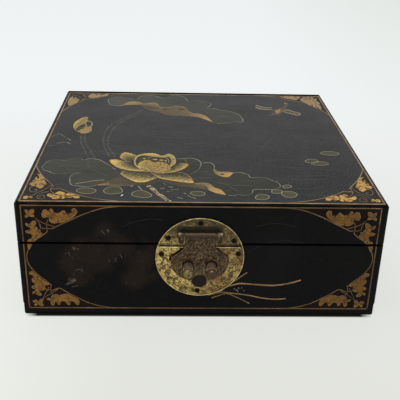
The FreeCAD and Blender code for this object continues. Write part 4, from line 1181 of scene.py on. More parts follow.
# %% Leaf shapes, lower coats first
LEAVES = {
    "back_left": [(-100, 116), (-100.5, 125.5), (-97, 131.5), (-91.5, 136), (-85.5, 134),
     (-78.5, 130.5), (-71.5, 127), (-66.5, 125.5), (-65, 135.5), (-60.5, 140.5), (-53.5, 142),
     (-46.5, 139.5), (-41.5, 134.5), (-38, 133), (-32, 135), (-27.5, 143), (-21.5, 144.5),
     (-16, 142), (-12.5, 136), (-10, 126.5), (-8, 119), (-4, 98), (-17, 96), (-34, 94), (-50, 104),
     (-64, 107), (-79, 104), (-84.5, 101), (-92, 101.5), (-97, 105)],
    "back_right": [(-8, 118), (-4.5, 123), (2.5, 124.5), (10.5, 122), (16, 117), (17.5, 111),
     (14.5, 103), (12, 96), (14, 95), (21, 95.5), (25, 91), (33, 89.5), (39, 84.5), (43.5, 79.5),
     (47, 73), (48.5, 64.5), (49.5, 56), (46.5, 49.5), (41, 51), (36, 49), (29, 46), (20.5, 45.5),
     (17, 48.5), (12.5, 54.5), (5, 62), (0, 68), (-8, 84), (-12, 96)],
    "left_far": [(-141.5, -81), (-140.5, -74), (-138.5, -67), (-134.5, -63), (-130, -62),
     (-124.5, -63.5), (-121, -62.5), (-118.5, -59), (-115, -57), (-111.5, -57), (-108.5, -60),
     (-106.5, -62.5), (-103, -59), (-100.5, -58.5), (-96.5, -59.5), (-92, -61.5), (-88, -66.5),
     (-82, -74), (-76, -84), (-71, -94), (-72, -100), (-79, -106), (-90, -103), (-100, -97),
     (-107, -94), (-115, -94.5), (-121.5, -94.5), (-127, -94.5), (-130.5, -93), (-134.5, -89),
     (-138.5, -87)],
    "left_near": [(-105.5, -92.5), (-109, -92.5), (-112, -96), (-113.5, -100.5), (-113.5, -106),
     (-112.5, -109), (-112.5, -112.5), (-110.5, -117.5), (-108, -119.5), (-104.5, -120),
     (-99.5, -121.5), (-94.5, -121), (-89.5, -118), (-83, -113), (-78, -106), (-82, -100),
     (-92, -95)],
    "right_round": [(-24, -58), (-21.5, -57), (-15, -55.5), (-9.5, -54.5), (-4.5, -56.5), (-1, -61),
     (0.5, -67), (-0.5, -74.5), (-2.5, -82.5), (-6.5, -88.5), (-10, -92), (-16, -88), (-20, -76),
     (-24, -66)],
    "right_large": [(0.5, -69), (2.5, -67), (5, -65), (9.5, -66), (12, -71.5), (12, -77.5),
     (11, -84.5), (12.5, -90), (16, -94.5), (20, -97.5), (25, -95), (28.5, -88.5), (34, -86.5),
     (38, -89), (41.5, -92.5), (42.5, -98), (47, -98), (53.5, -97.5), (57.5, -99.5), (60.5, -104),
     (64.5, -107), (66.5, -112.5), (66.5, -116.5), (64.5, -121), (60.5, -123), (57.5, -123.5),
     (50.5, -123.5), (44.5, -123.5), (42, -125.5), (41.5, -129.5), (38.5, -134), (33.5, -135.5),
     (29.5, -134), (25, -136.5), (21, -136), (17, -132), (12, -124), (5, -114), (-6, -113),
     (-9, -104), (-12, -94), (-6, -89), (-2, -82), (0, -74)],
}
PADS = [
    [(-100.5, -134), (-104.5, -130.5), (-104, -126.5), (-99, -124), (-92, -125), (-88.5, -129),
     (-91, -134), (-96, -135.5)],
    [(-82.5, -129), (-80.5, -124), (-76, -121), (-70, -121.5), (-67, -127.5), (-67.5, -132.5),
     (-74, -135.5), (-80, -134)],
    [(-59, -135.5), (-57, -130.5), (-51.5, -128), (-46, -131), (-42, -138), (-46.5, -142),
     (-53, -141), (-57.5, -138.5)],
    [(-10.5, -133), (-9, -129.5), (-4.5, -128.5), (0.5, -130), (1.5, -134), (-1.5, -137),
     (-7, -137)], [(97, -59), (101, -54), (107, -54), (110, -58), (107, -62), (100.5, -62.5)],
    [(102, -65), (107, -60), (114, -60), (118, -64.5), (113, -68), (106, -68)],
    [(115, -39), (119, -34), (127, -33), (133, -36.5), (131, -41.5), (122, -43)],
]
BRIGHT_PADS = [
    [(58, -125), (60, -123), (64, -124), (67, -126), (66, -130), (61.5, -131), (58, -129.5)],
    [(66, -128), (70.5, -126.5), (76, -128), (78.5, -132.5), (75.5, -138), (70.5, -139),
     (66.5, -136), (65.5, -132)],
    [(68.5, -115.5), (72, -113.5), (75.5, -114.5), (76, -117.5), (73, -119.5), (69.5, -120)],
    [(43, -138.5), (46, -133.5), (52, -133.5), (54.5, -137.5), (52, -142.5), (46, -143.5),
     (43, -142)],
]
print("leaves:", len(LEAVES), "pads:", len(PADS) + len(BRIGHT_PADS))

# %% Outlines and veins of the leaves
OUTLINES = [
    LEAVES["left_far"][:19], LEAVES["left_far"][24:] + LEAVES["left_far"][:1],
    LEAVES["left_near"][:13], LEAVES["right_round"][1:11], LEAVES["right_large"][1:7],
    LEAVES["right_large"][11:35], LEAVES["back_left"][:7],
    [(-100, 116), (-97, 105), (-92, 101.5), (-84.5, 101), (-79, 106)], LEAVES["back_left"][7:13],
    LEAVES["back_left"][12:21], LEAVES["back_right"][:8], LEAVES["back_right"][8:22],
]
VEINS = [
    [(-138, -69.5), (-132.5, -74), (-126, -76), (-117, -76), (-110, -78), (-102.5, -80),
     (-96, -84.5), (-88, -92), (-81.5, -98.5)],
    [(-104.5, -63.5), (-102, -68), (-100.5, -74), (-99, -78.5)],
    [(-112, -100.5), (-107, -99), (-102, -100), (-96, -104.5), (-91, -107.5), (-83, -107)],
    [(-107, -115.5), (-102, -112), (-97, -111), (-91.5, -107.5)],
    [(-80, -70), (-75, -77), (-71.5, -84), (-69, -92)],
    [(-10.5, -67.5), (-6.5, -63.5), (-3, -62.5)],
    [(-7.5, -102), (-2, -99.5), (4, -99), (11, -99.5), (15.5, -96.5)],
    [(-5, -108.5), (3, -108), (11.5, -109), (18, -112), (23, -117), (26, -123), (30, -128)],
    [(25, -116), (32.5, -115.5), (40, -116.5)], [(0, -86.5), (3.5, -87), (7, -85.5)],
    [(20, -125), (23, -127)],
    [(-95, 107), (-94.5, 116.5), (-90.5, 124), (-86.5, 128.5), (-82, 130.5)],
    [(-38, 133), (-37, 117.5), (-37.5, 104.5)],
    [(-24, 139.5), (-22.5, 129.5), (-23, 116), (-25.5, 108.5)],
    [(-62.5, 135.5), (-61, 124), (-58, 116.5)],
    [(7.5, 90), (12.5, 80), (18.5, 64.5), (26, 64.5), (32, 58.5)], [(-8, 117), (-4, 104), (3, 98)],
    [(-52, 118), (-46, 126), (-44, 134)],
]
print("outlines:", len(OUTLINES), "veins:", len(VEINS))

# %% Paint leaves, pads and veins
for name, shapes, coat, lowest in (
        ("leaves_right", [LEAVES["right_round"], LEAVES["right_large"]], leaf_dark, 0.02),
        ("leaves_back", [LEAVES["back_left"], LEAVES["back_right"]], leaf_far, 0.014),
        ("leaves_left", [LEAVES["left_far"], LEAVES["left_near"]], leaf_green, 0.027),
        ("pads", PADS, pad_dark, 0.016), ("bright_pads", BRIGHT_PADS, pad_green, 0.03)):
    on_lid(name, painted(shapes, lowest, rise=0.003), coat)
lid_lines("leaf_outlines", OUTLINES, pale_line, 0.75, 0.042, (0.5, 1.0, 0.6))
lid_lines("leaf_veins", VEINS, faint_line, 0.8, 0.039, (0.6, 1.0, 0.5))
lid_lines("pad_outlines", closed(PADS + BRIGHT_PADS), pad_line, 0.65, 0.044, (0.3, 1.0, 0.4))

# %% Turned-over edges of the leaves, as two curves, the tones along each, and a height
FOLDS = [
    ([(-97, -114.5), (-91.5, -110.5), (-86.5, -108.5), (-79.5, -107)], [(-93, -117.5), (-88, -115),
     (-84, -113), (-81, -110), (-79.5, -107)], (0.85, 0.95, 0.95), (0.9, 0.95), 0.045),
    ([(-79, -107), (-75, -102.5), (-70, -99), (-66.5, -101.5), (-61.5, -106.5), (-56.5, -110.5),
     (-49.5, -111), (-43, -108), (-38.5, -104)], [(-79, -117.5), (-68.5, -117.5), (-61, -117),
     (-52.5, -117), (-46, -117), (-41, -114.5), (-37.5, -108)], (0.9, 0.85, 0.95, 1.0),
     (0.8, 0.9, 1.0, 1.0), 0.046),
    ([(-90, -117.5), (-84, -113.5), (-79.5, -108)], [(-90, -117.5), (-85.5, -117.5), (-78.5, -117)],
     (0.75, 0.9), (0.3, 0.6), 0.05),
    ([(-38.5, -104), (-31, -107), (-20.5, -109.5), (-10, -112.5), (-6, -113.5), (-2, -115)],
     [(-37.5, -108), (-29, -114), (-20.5, -118), (-10.5, -121), (-2, -123), (5, -125.5)],
     (0.9, 0.95, 0.8), (1.0, 0.95, 0.9, 0.7), 0.047),
    ([(-7, -112), (0, -111.5), (5, -113), (9, -119.5), (15, -124.5), (18, -131.5), (19, -135.5)],
     [(-7, -114), (-2.5, -117.5), (3.5, -119.5), (5, -125.5), (9.5, -130.5), (14.5, -133.5),
     (19, -135.5)], (0.6, 0.48, 0.24, 0.1, 0.2), (0.75, 0.7, 0.3, 0.05, 0.3), 0.053),
    ([(11.5, -77.5), (13, -81), (14, -84.5), (18, -86.5), (21.5, -88), (26, -87.5), (28.5, -88.5)],
     [(11.5, -77.5), (11, -83), (11.5, -89), (14, -93.5), (18, -97), (23.5, -97.5), (28.5, -88.5)],
     (0.6, 0.5, 0.15, 0.15), (0.7, 0.55, 0.15, 0.05), 0.05),
    ([(-89, 101), (-82.5, 104), (-78.5, 113.5), (-73, 117.5), (-66, 116), (-60, 109.5)],
     [(-89, 101), (-82, 102.5), (-76, 104), (-70, 105), (-64, 105.5), (-60, 109.5)],
     (0.5, 0.3, 0.35), (0.6, 0.45, 0.55), 0.045),
    ([(-66, 112), (-60, 109.5), (-53.5, 113), (-47, 114.5), (-43, 109.5), (-41, 100.5)],
     [(-66, 108), (-60, 104), (-53, 101), (-47, 97), (-42, 94)], (0.5, 0.35, 0.5),
     (0.75, 0.7, 0.8), 0.048),
    ([(-63.5, 105), (-57, 92.5), (-51.5, 85.5), (-42.5, 82.5)], [(-60, 106.5), (-52, 100),
     (-46, 96), (-40, 97)], (0.7, 0.8, 0.6), (0.85, 0.95, 0.8), 0.043),
    ([(-41, 100.5), (-34, 99), (-25, 103), (-17, 102.5), (-11.5, 96.5), (-8.5, 86), (-4, 77.5)],
     [(-42.5, 82.5), (-37, 74), (-29, 69), (-18.5, 68.5), (-7.5, 67), (0, 65.5)],
     (0.6, 0.7, 0.65, 0.55), (0.75, 0.75, 0.7, 0.6), 0.051),
    ([(-6, 82), (-4, 77.5), (3.5, 75), (10, 67.5), (14.5, 54.5), (17.5, 48)], [(-7.5, 67),
     (0, 65.5), (6.5, 60), (12.5, 53), (17.5, 48)], (0.55, 0.45, 0.25, 0.1), (0.6, 0.4, 0.2, 0.1),
     0.054),
]
FOLD_HOLES = [
    [(-38, 90), (-35, 93), (-31.5, 91), (-33, 88), (-36.5, 87.5)],
    [(-21, 90.5), (-17.5, 93.5), (-12.5, 93), (-13.5, 90), (-18, 89)],
    [(16.6, -91), (19, -90), (20.4, -92), (18, -93.4)],
]
FOLD_LINES = [
    [(-87, 102), (-82.5, 104), (-78.5, 113.3), (-73, 117.3), (-66, 116), (-60, 110)],
    [(-60, 109.5), (-53.5, 112.8), (-47, 114.3), (-43, 109.5)],
    [(-4, 77.5), (3.5, 75), (10, 67.5), (14.5, 54.5)], [(-25, 103), (-17, 102.5), (-11.5, 96.5)],
    [(-88, -117.8), (-79, -117.8), (-68, -117.8), (-58, -117.2)],
    [(-107, -115.5), (-99.5, -112), (-91.5, -108.5), (-84, -107)],
    [(-6, -112.6), (0, -111), (5.5, -112.5), (9.5, -119)], [(28, -88), (24, -86.5), (19, -86)],
]
folds = Paint()
for fold in FOLDS:
    folds.strip(*fold)
for hole in FOLD_HOLES:
    folds.patch(hole, 0.058, tone=1.05)
on_lid("leaf_folds", folds.mesh(), fold_paint)
lid_lines("fold_ridges", FOLD_LINES, ridge_paint, 0.8, 0.057, (0.5, 1.0, 0.5))

# %% [markdown]
# ## The lotus pond: the open bloom
# The bloom is the brightest thing on the lid. Each petal is a strip between two curves, and its
# tones run from gold at one edge to grey green in the hollow, so the shading follows the petal,
# which one flat fill couldn't do. The seed head is a mottled yellow patch with a stippled face.

# %% Petals, from the back of the bloom to the front
PETALS = [
    ([(-73.5, -57), (-74, -52), (-73, -46), (-70.5, -42), (-66.5, -43.5), (-61.5, -47), (-59, -50)],
     [(-73.5, -57), (-70, -61), (-66.5, -64.5), (-63, -66), (-60, -68), (-58, -62)],
     (0.35, 0.25, 0.2, 0.4), (0.4, 0.75, 1.0, 1.0), 0.06),
    ([(-83, -61.5), (-81, -68.5), (-77, -75.5), (-71.5, -81), (-65, -84.5), (-57.5, -86.5),
     (-50, -87)], [(-83, -61.5), (-79, -60), (-75.5, -61), (-70, -63.5), (-64, -65.5), (-60, -72.5),
     (-56, -80)], (0.05, 0.18, 0.18, 0.12), (0.1, 0.35, 0.9, 1.0, 0.95), 0.066),
    ([(-36.5, -90.5), (-31, -90), (-24, -88), (-18, -83), (-13, -76), (-11, -71)], [(-32, -86),
     (-28.5, -83.5), (-25, -75), (-21.5, -70), (-17.5, -66.5), (-13, -68.5), (-11, -71)],
     (0.35, 0.3, 0.22, 0.25), (0.7, 0.95, 0.85, 0.25), 0.066),
    ([(-71, -93.5), (-67.5, -99), (-62, -105.5), (-56.5, -110.5), (-49.5, -110.5), (-44.5, -107),
     (-38, -100.5)], [(-71, -93.5), (-69, -88), (-63, -86.5), (-54, -86.5), (-45, -87.5),
     (-42.5, -93), (-38, -100.5)], (0.4, 0.28, 0.12, 0.14, 0.4), (0.6, 0.9, 0.95, 1.0, 0.85),
     0.07),
    ([(-43.5, -89.5), (-39.5, -97), (-36, -102.5), (-29, -105.5), (-20.5, -108.5), (-12, -111),
     (-7, -111.5)], [(-43.5, -89.5), (-40.5, -91.5), (-32, -91.5), (-20.5, -89), (-15, -91),
     (-10, -98.5), (-8, -107), (-7, -111.5)], (0.45, 0.38, 0.25, 0.18, 0.12),
     (0.95, 1.0, 1.0, 0.8, 0.2), 0.073),
    ([(-56, -79.5), (-59.5, -72.5), (-60.5, -63), (-60, -55.5), (-58, -49.5), (-54, -45.5),
     (-49.5, -44), (-44, -43.5), (-40, -46), (-37, -49)], [(-55.5, -78), (-58.3, -71), (-59.3, -63),
     (-58.6, -56), (-56.2, -51), (-52, -49), (-47, -50.5), (-42, -52), (-37, -53.5)],
     (0.35, 0.38, 0.3, 0.12, 0.12), (0.4, 0.45, 0.4, 0.45, 0.5), 0.076),
    ([(-37, -49), (-33.5, -48.5), (-30, -44.5), (-27, -45.5), (-24, -50.5), (-22.5, -59.5),
     (-23, -68), (-26, -74), (-28, -76.5)], [(-37, -54), (-32.5, -53), (-29.5, -52), (-28, -54.5),
     (-26.5, -60.5), (-27, -67), (-28, -73), (-29, -76)], (0.35, 0.35, 0.4, 0.3, 0.35),
     (0.45, 0.5, 0.55, 0.5, 0.45), 0.078),
]
CUP_HOLLOW = [(-58, -62), (-57, -52), (-50, -48), (-42, -48), (-36, -51), (-30, -49), (-26, -54),
    (-25, -64), (-28, -76), (-36, -84), (-50, -82), (-57, -74)]
SEED_HEAD = [(-56, -79.5), (-56, -70), (-53.5, -64), (-50, -60.5), (-46, -61.5), (-43, -65.5),
    (-40.5, -65.5), (-37, -64), (-32, -67), (-28.5, -73), (-27, -78.5), (-28.5, -84.5),
    (-33.5, -89), (-40, -90.5), (-45, -87), (-50.5, -86), (-54, -84)]
CUP_SPOTS = [
    [(-44, -59.5), (-42, -57.5), (-39.5, -58.5), (-41, -60.5)],
    [(-38, -60.5), (-36, -59), (-33.5, -60.5), (-36, -61.8)],
    [(-53, -57), (-51.5, -55.5), (-50.5, -57.5), (-52, -58.5)],
    [(-33, -61.5), (-31.5, -60.5), (-30.8, -62.5), (-32.2, -63.3)],
]
bloom = Paint()
bloom.patch(CUP_HOLLOW, 0.062, tone=0.9)
for petal in PETALS:
    bloom.strip(*petal)
for spot in CUP_SPOTS:
    bloom.patch(spot, 0.08, tone=0.36)
on_lid("lotus_bloom", bloom.mesh(), lotus_paint)
seed_head = Paint()
seed_head.patch(SEED_HEAD, 0.082, tone=0.58)
seed_head.strip([(-56.5, -79.5), (-56.5, -70), (-53.5, -64), (-50, -60.5)],
                [(-52.5, -80), (-52.5, -71), (-50.5, -66), (-48, -63)], (0.1, 0.2, 0.3),
                (0.45, 0.5, 0.5), 0.086)
on_lid("seed_head", seed_head.mesh(), seed_paint)

# %% Rims of the petals, and stipple on the seed head
RIMS = [
    [(-71, -93.5), (-69, -88), (-66, -87)], [(-45, -87.5), (-42.5, -93), (-38, -100.5)],
    [(-40.5, -91.5), (-32, -91.5)],
    [(-20.5, -89), (-15, -91), (-10, -98.5), (-8, -107), (-7, -111.5)],
    [(-83, -61.5), (-79, -60), (-75.5, -61), (-70, -63.5), (-64, -65.5)],
    [(-73.5, -57), (-70, -61), (-66.5, -64.5)],
    [(-56, -79.5), (-59.5, -72.5), (-60.7, -63), (-60.2, -55.5), (-58, -49.5), (-54, -45.5)],
    [(-48, -56.5), (-46.5, -53), (-42, -51.5), (-36.5, -51.5), (-31.5, -54.5), (-29, -61),
     (-29.5, -67)], [(-15, -58), (-13, -63), (-12, -68), (-11, -71)],
    [(-83, -61.5), (-81, -68.5), (-77, -75.7), (-71.5, -81.2), (-65, -84.7), (-57.5, -86.7),
     (-50, -87.2), (-44, -87.6)],
]
TIPS = [
    [(-83, -62), (-81, -68.5), (-77, -75.5), (-71.5, -81), (-66, -84)], [(-82.5, -61), (-79, -60)],
    [(-11.5, -72), (-13, -76), (-18, -83), (-24, -88)], [(-73.5, -56), (-74, -52), (-73, -46)],
    [(-11, -97), (-8.5, -104), (-7.5, -111), (-12, -111), (-20.5, -108.5), (-27, -106.5)],
]
lid_lines("petal_rims", RIMS, ridge_paint, 0.7, 0.088, (0.5, 1.0, 0.7))
lid_lines("petal_tips", TIPS, warm_gold, 1.0, 0.093, (0.7, 1.0, 0.4))
face_of_head = [(x * 0.98 - 0.8, y * 0.98 - 1.5) for x, y in SEED_HEAD]
for name, coat, seed, radius in (("seed_stipple_dark", seed_dark, 2, 0.48),
                                 ("seed_stipple_light", seed_light, 6, 0.5)):
    on_lid(name, punched_face(face_of_head, coat, Spacing=1.9, Density=0.3, Radius=radius,
                              Height=0.115, Seed=seed), coat)

# %% [markdown]
# ## The lotus pond: bud, bird and stems
# The bud stands on two dotted stems at the left, and a small bird flies in from the right. Both
# are painted as the bloom is, in strips with tones, over a few thin strokes.

# %% Bud
BUD = [(-128, 27.5), (-128.5, 37), (-127.5, 45), (-125, 51.5), (-122.5, 56.5), (-120, 60),
    (-117, 60), (-116, 55), (-116, 50), (-113, 47), (-110.5, 42.5), (-109.5, 36), (-109.5, 30),
    (-108.5, 22), (-109, 14.5), (-112, 10), (-117, 8.5), (-120, 12), (-123.5, 17), (-126, 21.5)]
bud = Paint()
bud.patch(BUD, 0.03, tone=0.54)
bud.strip([(-128, 27.5), (-128.5, 37), (-127.5, 45), (-125, 51.5), (-122.5, 56.5), (-119, 60)],
          [(-125, 27), (-124.5, 36), (-123, 44), (-121, 50), (-119, 55), (-117, 59)],
          (0.2, 0.15, 0.3), (0.6, 0.55, 0.6), 0.04)
bud.patch([(-124, 25), (-121.5, 33), (-118.5, 38), (-116, 34), (-116.5, 27), (-119.5, 20),
           (-122, 16), (-124.5, 20)], 0.044, tone=0.9)
bud.patch([(-116.5, 40.5), (-115.5, 44.5), (-112.5, 44), (-110.5, 37.5), (-111.5, 31.5),
           (-113, 29), (-115, 34.5)], 0.044, tone=0.95)
on_lid("lotus_bud", bud.mesh(), lotus_paint)

# %% Bird, with the warm petal of the bud
warm = Paint()
warm.strip([(-119.5, 15.5), (-119, 12), (-117, 9), (-112, 10.5), (-108.5, 16), (-108.5, 24)],
           [(-119.5, 15.5), (-118, 20.5), (-115, 26), (-111, 28.5), (-108.5, 24)],
           (0.22, 0.28, 0.35), (0.32, 0.38, 0.42), 0.05)
warm.strip([(83, 78), (84, 88.5), (88.5, 97.5), (95, 101.5), (100.5, 109.5), (102.5, 115),
            (103, 121)],
           [(86, 77.5), (90.5, 76.5), (93.5, 82), (97, 92.5), (101, 98.5), (104, 106),
            (106.5, 119)], (0.86, 0.78, 0.86, 0.9), (0.74, 0.68, 0.76, 0.72), 0.05)
warm.patch([(88, 86), (90, 92), (94, 96), (95, 92), (92, 85), (89, 82)], 0.056, tone=0.3)
warm.patch([(84, 84), (85.5, 88.5), (87.5, 88), (86.5, 83.5)], 0.056, tone=1.0)
for x, y in ((97, 101), (99, 104), (101, 108), (102.5, 112)):
    warm.patch([(x - 1.6, y + 0.8), (x + 2.2, y - 2.2), (x + 2.6, y - 1.2), (x - 1.2, y + 2)],
               0.056, tone=1.0)
on_lid("bird_and_bud_petal", warm.mesh(), fold_paint)
wings = Paint()
wings.strip([(68.5, 110.5), (71.5, 108), (77, 102.5), (81, 101.5), (87, 102)],
            [(67.5, 102), (71.5, 97), (76, 95), (80.5, 95), (86, 95.5)], (0.7, 0.78),
            (0.7, 0.82), 0.036)
wings.strip([(98, 93), (103, 95), (108, 89.5), (112, 86), (115.5, 83)],
            [(96, 89), (100.5, 84.5), (104.5, 81.5), (108.5, 77.5), (115, 78.5)], (0.8, 0.72),
            (0.8, 0.72), 0.036)
on_lid("bird_wings", wings.mesh(), lotus_paint)

# %% Thin strokes round bud, bird and water
SMALL_LINES = [
    [(-126, 21.5), (-123.5, 17), (-120.5, 12.5)],
    [(-116.5, 47.5), (-113, 47), (-110, 41), (-109.5, 33), (-110.5, 29)],
    [(-117, 39), (-115, 34.5), (-114.5, 28)], [(-121, 22), (-118, 26.5), (-115.5, 31.5)],
    [(80, 74.5), (83, 76), (86, 77.5)],
    [(-145, -3), (-142, 4.5), (-138.5, 6), (-132, -2.5), (-125, -12)],
    [(-137.5, -20.5), (-133, -18), (-129, -16.5), (-124, -21.5)], [(-144, -27.5), (-139.5, -25)],
]
WING_LINES = [
    [(68.5, 110.5), (71.5, 108), (77, 102.5), (81, 101.5), (86, 102)],
    [(67.5, 102), (71.5, 97), (76, 95), (80.5, 95), (85, 95.5)],
    [(98, 93), (103, 95), (108, 89.5), (112, 86), (115.5, 83)],
    [(96.5, 89), (100.5, 84.5), (104.5, 81.5), (108.5, 77.5), (111.5, 76), (115, 78.5)],
    [(103, 118), (104, 120.5), (106.5, 119.5)],
]
FEATHERS = [
    [(86, 80), (92, 88), (97, 96), (102, 107), (104.5, 116)],
    [(89, 92), (94, 97), (99, 104), (102, 112)], [(84, 80), (88, 80), (92, 84)],
]
lid_lines("pale_strokes", SMALL_LINES, pale_line, 0.75, 0.062, (0.6, 1.0, 0.7))
lid_lines("wing_lines", WING_LINES, wing_line, 1.0, 0.064, (0.6, 1.0, 0.7))
lid_lines("feather_lines", FEATHERS, stipple_brown, 0.7, 0.064, (0.4, 1.0, 0.4))

# %% Dotted stems
DOTTED = [
    [(-118, 5), (-116.5, -5), (-115, -16), (-112.5, -26.5), (-109.5, -37), (-107, -46),
     (-103.5, -55)],
    [(-114.5, 7), (-113, -4.5), (-111, -15.5), (-108, -26.5), (-104, -37), (-101.5, -46),
     (-98.5, -53), (-96, -59.5)], [(-102, -60), (-103, -70), (-99, -80)],
    [(-69, 68), (-79, 56), (-86, 46), (-93, 26), (-94.6, 2), (-94, -12), (-91, -30), (-84, -53)],
    [(-64, 68), (-77, 53), (-84, 35), (-89, 10), (-89.4, -10), (-87, -30), (-79, -52)],
    [(-60, 88), (-66, 76), (-74, 66), (-82, 54)],
]
BLOOM_STEM = [(-45.5, -119), (-43, -122), (-40.5, -127), (-38, -133), (-34.5, -137.5),
    (-31, -143.5), (-28, -148)]
stem_sides = [[(x + 0.9, y + 0.8) for x, y in line] for line in DOTTED]
stem_rows = [[(x + shift, y + 0.5 * shift) for x, y in BLOOM_STEM] for shift in (-1.0, 0.9)]
lid_dots("dotted_stems", DOTTED, speckle, 2.9, 0.56, 0.045, 4)
lid_dots("fine_dots", stem_sides, pale_line, 4.7, 0.4, 0.045, 8)
lid_dots("dim_dots", stem_sides, faint_line, 2.1, 0.5, 0.045, 11)
lid_dots("bloom_stem_gold", stem_rows, stem_gold, 2.7, 1.05, 0.05, 9)
lid_dots("bloom_stem_brown", stem_rows, stipple_brown, 2.3, 0.8, 0.04, 5)

# %% Water marks, small dots and scratches on the lid
WATER = [
    [(89, -69), (93, -70), (97, -70)], [(79, -121), (87, -121.6), (94, -122)],
    [(79, -101), (83, -101)], [(90, -101), (101, -101), (112, -101)],
    [(-20, -20), (-2, -14), (14, -18)], [(-48, 16), (-30, 20), (-12, 15)],
    [(60, -60), (74, -55), (88, -57)], [(-50, -26), (-34, -18), (-18, -22)],
    [(-142, 18), (-139.6, 8), (-141, -4)], [(20, 2), (36, 8), (54, 6), (66, -2)],
    [(-20, 42), (0, 46), (18, 42)], [(30, -24), (44, -20), (58, -24)],
    [(-60, 48), (-44, 52), (-30, 50)], [(92, -92), (104, -92), (118, -94)],
]
SCRATCHES = [
    [(48, -48), (52, -45), (58, -34), (66, -15), (73, -1), (80, 23)], [(26, -32), (30, -36)],
    [(-120, -48), (-60, -30)], [(96, 30), (118, 44)],
]
DASHES = [
    [(-61, -120.5), (-58.5, -119)], [(-54, -119), (-52.5, -123), (-50.5, -127)],
    [(-38.5, -107), (-36.5, -109)], [(-33.5, -111), (-31.5, -115.5)],
    [(-35.5, -123.5), (-32, -122.5)], [(-27, -126.5), (-24, -125.5), (-20, -125.5)],
    [(-28.5, -119.5), (-25, -121)], [(-30, -129), (-27.5, -130)], [(-16, -132), (-14, -134)],
    [(-13, -136), (-10.5, -139.5), (-6, -142.5)], [(-21, -141), (-17, -143)],
]
lid_lines("water_lines", WATER, faint_line, 0.55, 0.02, (0.4, 1.0, 0.4))
lid_lines("scratches", SCRATCHES, faint_line, 0.42, 0.016, (0.5, 1.0, 0.4), rounded=False)
lid_lines("dashes", DASHES, pale_line, 1.1, 0.046, (0.6, 1.0, 0.5))
dice = random.Random(7)
spray = []
for _ in range(26):
    x, y, size = dice.uniform(-36, 8), dice.uniform(-144, -118), dice.uniform(0.3, 0.8)
    spray.append(ellipse(x, y, size * 1.3, size, (0.2, 1.3, 2.6, 3.8, 5.2)))
on_lid("spray_dots", painted(spray, 0.026), faint_line)
CHIP = [(-67.6, -139), (-66.8, -136.8), (-66, -136), (-65.6, -137), (-66.5, -138.8)]
on_lid("chip", painted([CHIP], 0.05), white_chip)

# %% [markdown]
# ## Engraving on the lock plate
# The plate was engraved with sprays and then punched all over with a fine point. The lines are
# dark because polish collects in them. They lie on the CAD plate as hair-thin dark strokes and
# marks, cut at the seam like everything else. Its rim is rubbed bright and also a painted
# highlight.
# At the cut the lower half has a painted highlight and painted shadows, and the upper half a
# painted shadow; painted highlights also lie beside the tab.

# %% Engraved sprays, with leaflets along each stem
plate_face = face_frame((LOCK_X, -HALF_DEPTH - PLATE_OUT, LOCK_Z), (1, 0, 0), (0, 0, 1))
STEMS = [
    [(-30, 4), (-27, 9), (-22, 12), (-19, 17), (-21, 21)],
    [(24, 6), (28, 9), (27, 14), (22, 17), (20, 22)],
    [(-14, 31), (-8, 33.5), (0, 31.5), (8, 33.5), (14, 30)], [(-33, 1), (-28, -1), (-25, -5)],
    [(-32, -6), (-28, -11), (-28, -17), (-23, -21), (-19, -27), (-12, -29)],
    [(-13, -27), (-8, -32), (-3, -31)], [(31, -5), (27, -10), (28, -16), (24, -20), (20, -26)],
    [(19, -27), (14, -30), (9, -32)], [(-27, 20), (-21, 25), (-15, 27)],
    [(15, 28), (21, 25), (26, 20)],
]


def sprig(stem, step=4, reach=2.4):
    """A stem with a short curved leaflet at every few points, left and right in turn."""
    line = smooth(stem)
    strokes = [stem]
    for number, i in enumerate(range(2, len(line) - 2, step)):
        ahead = (line[i + 1] - line[i]).normalized()
        for side in (1, -1):
            away = Vector((-ahead.y, ahead.x)) * side
            size = reach * (1.0 if (number + side) % 3 else 0.6)
            tip = line[i] + ahead * size * 0.8 + away * size
            strokes.append([line[i], line[i] + ahead * size * 0.1 + away * size * 0.6, tip])
    return [[tuple(p) for p in stroke] for stroke in strokes]


sprays = [stroke for stem in STEMS for stroke in sprig(stem)]
print("engraved strokes:", len(sprays))

# %% Punch marks, sprays, rim, and painted highlights and shadows at the cut on both halves
seam_level = SEAM - LOCK_Z
RIM_RING, RIM_HEIGHT, CUT_HALF = PLATE_RADIUS - 0.35, 0.56, 0.5
PUNCHED_RADIUS, CUT_REACH, HASP_HALF = 33.6, 35.0, 13.4


def on_metal(name, mesh, face, body, coat):
    placed(name, mesh, face, body, coat)


def either_side(inner, reach, level):
    """Two level strokes, left and right of the hasp."""
    return [[(-reach, level), (-inner, level)], [(inner, level), (reach, level)]]


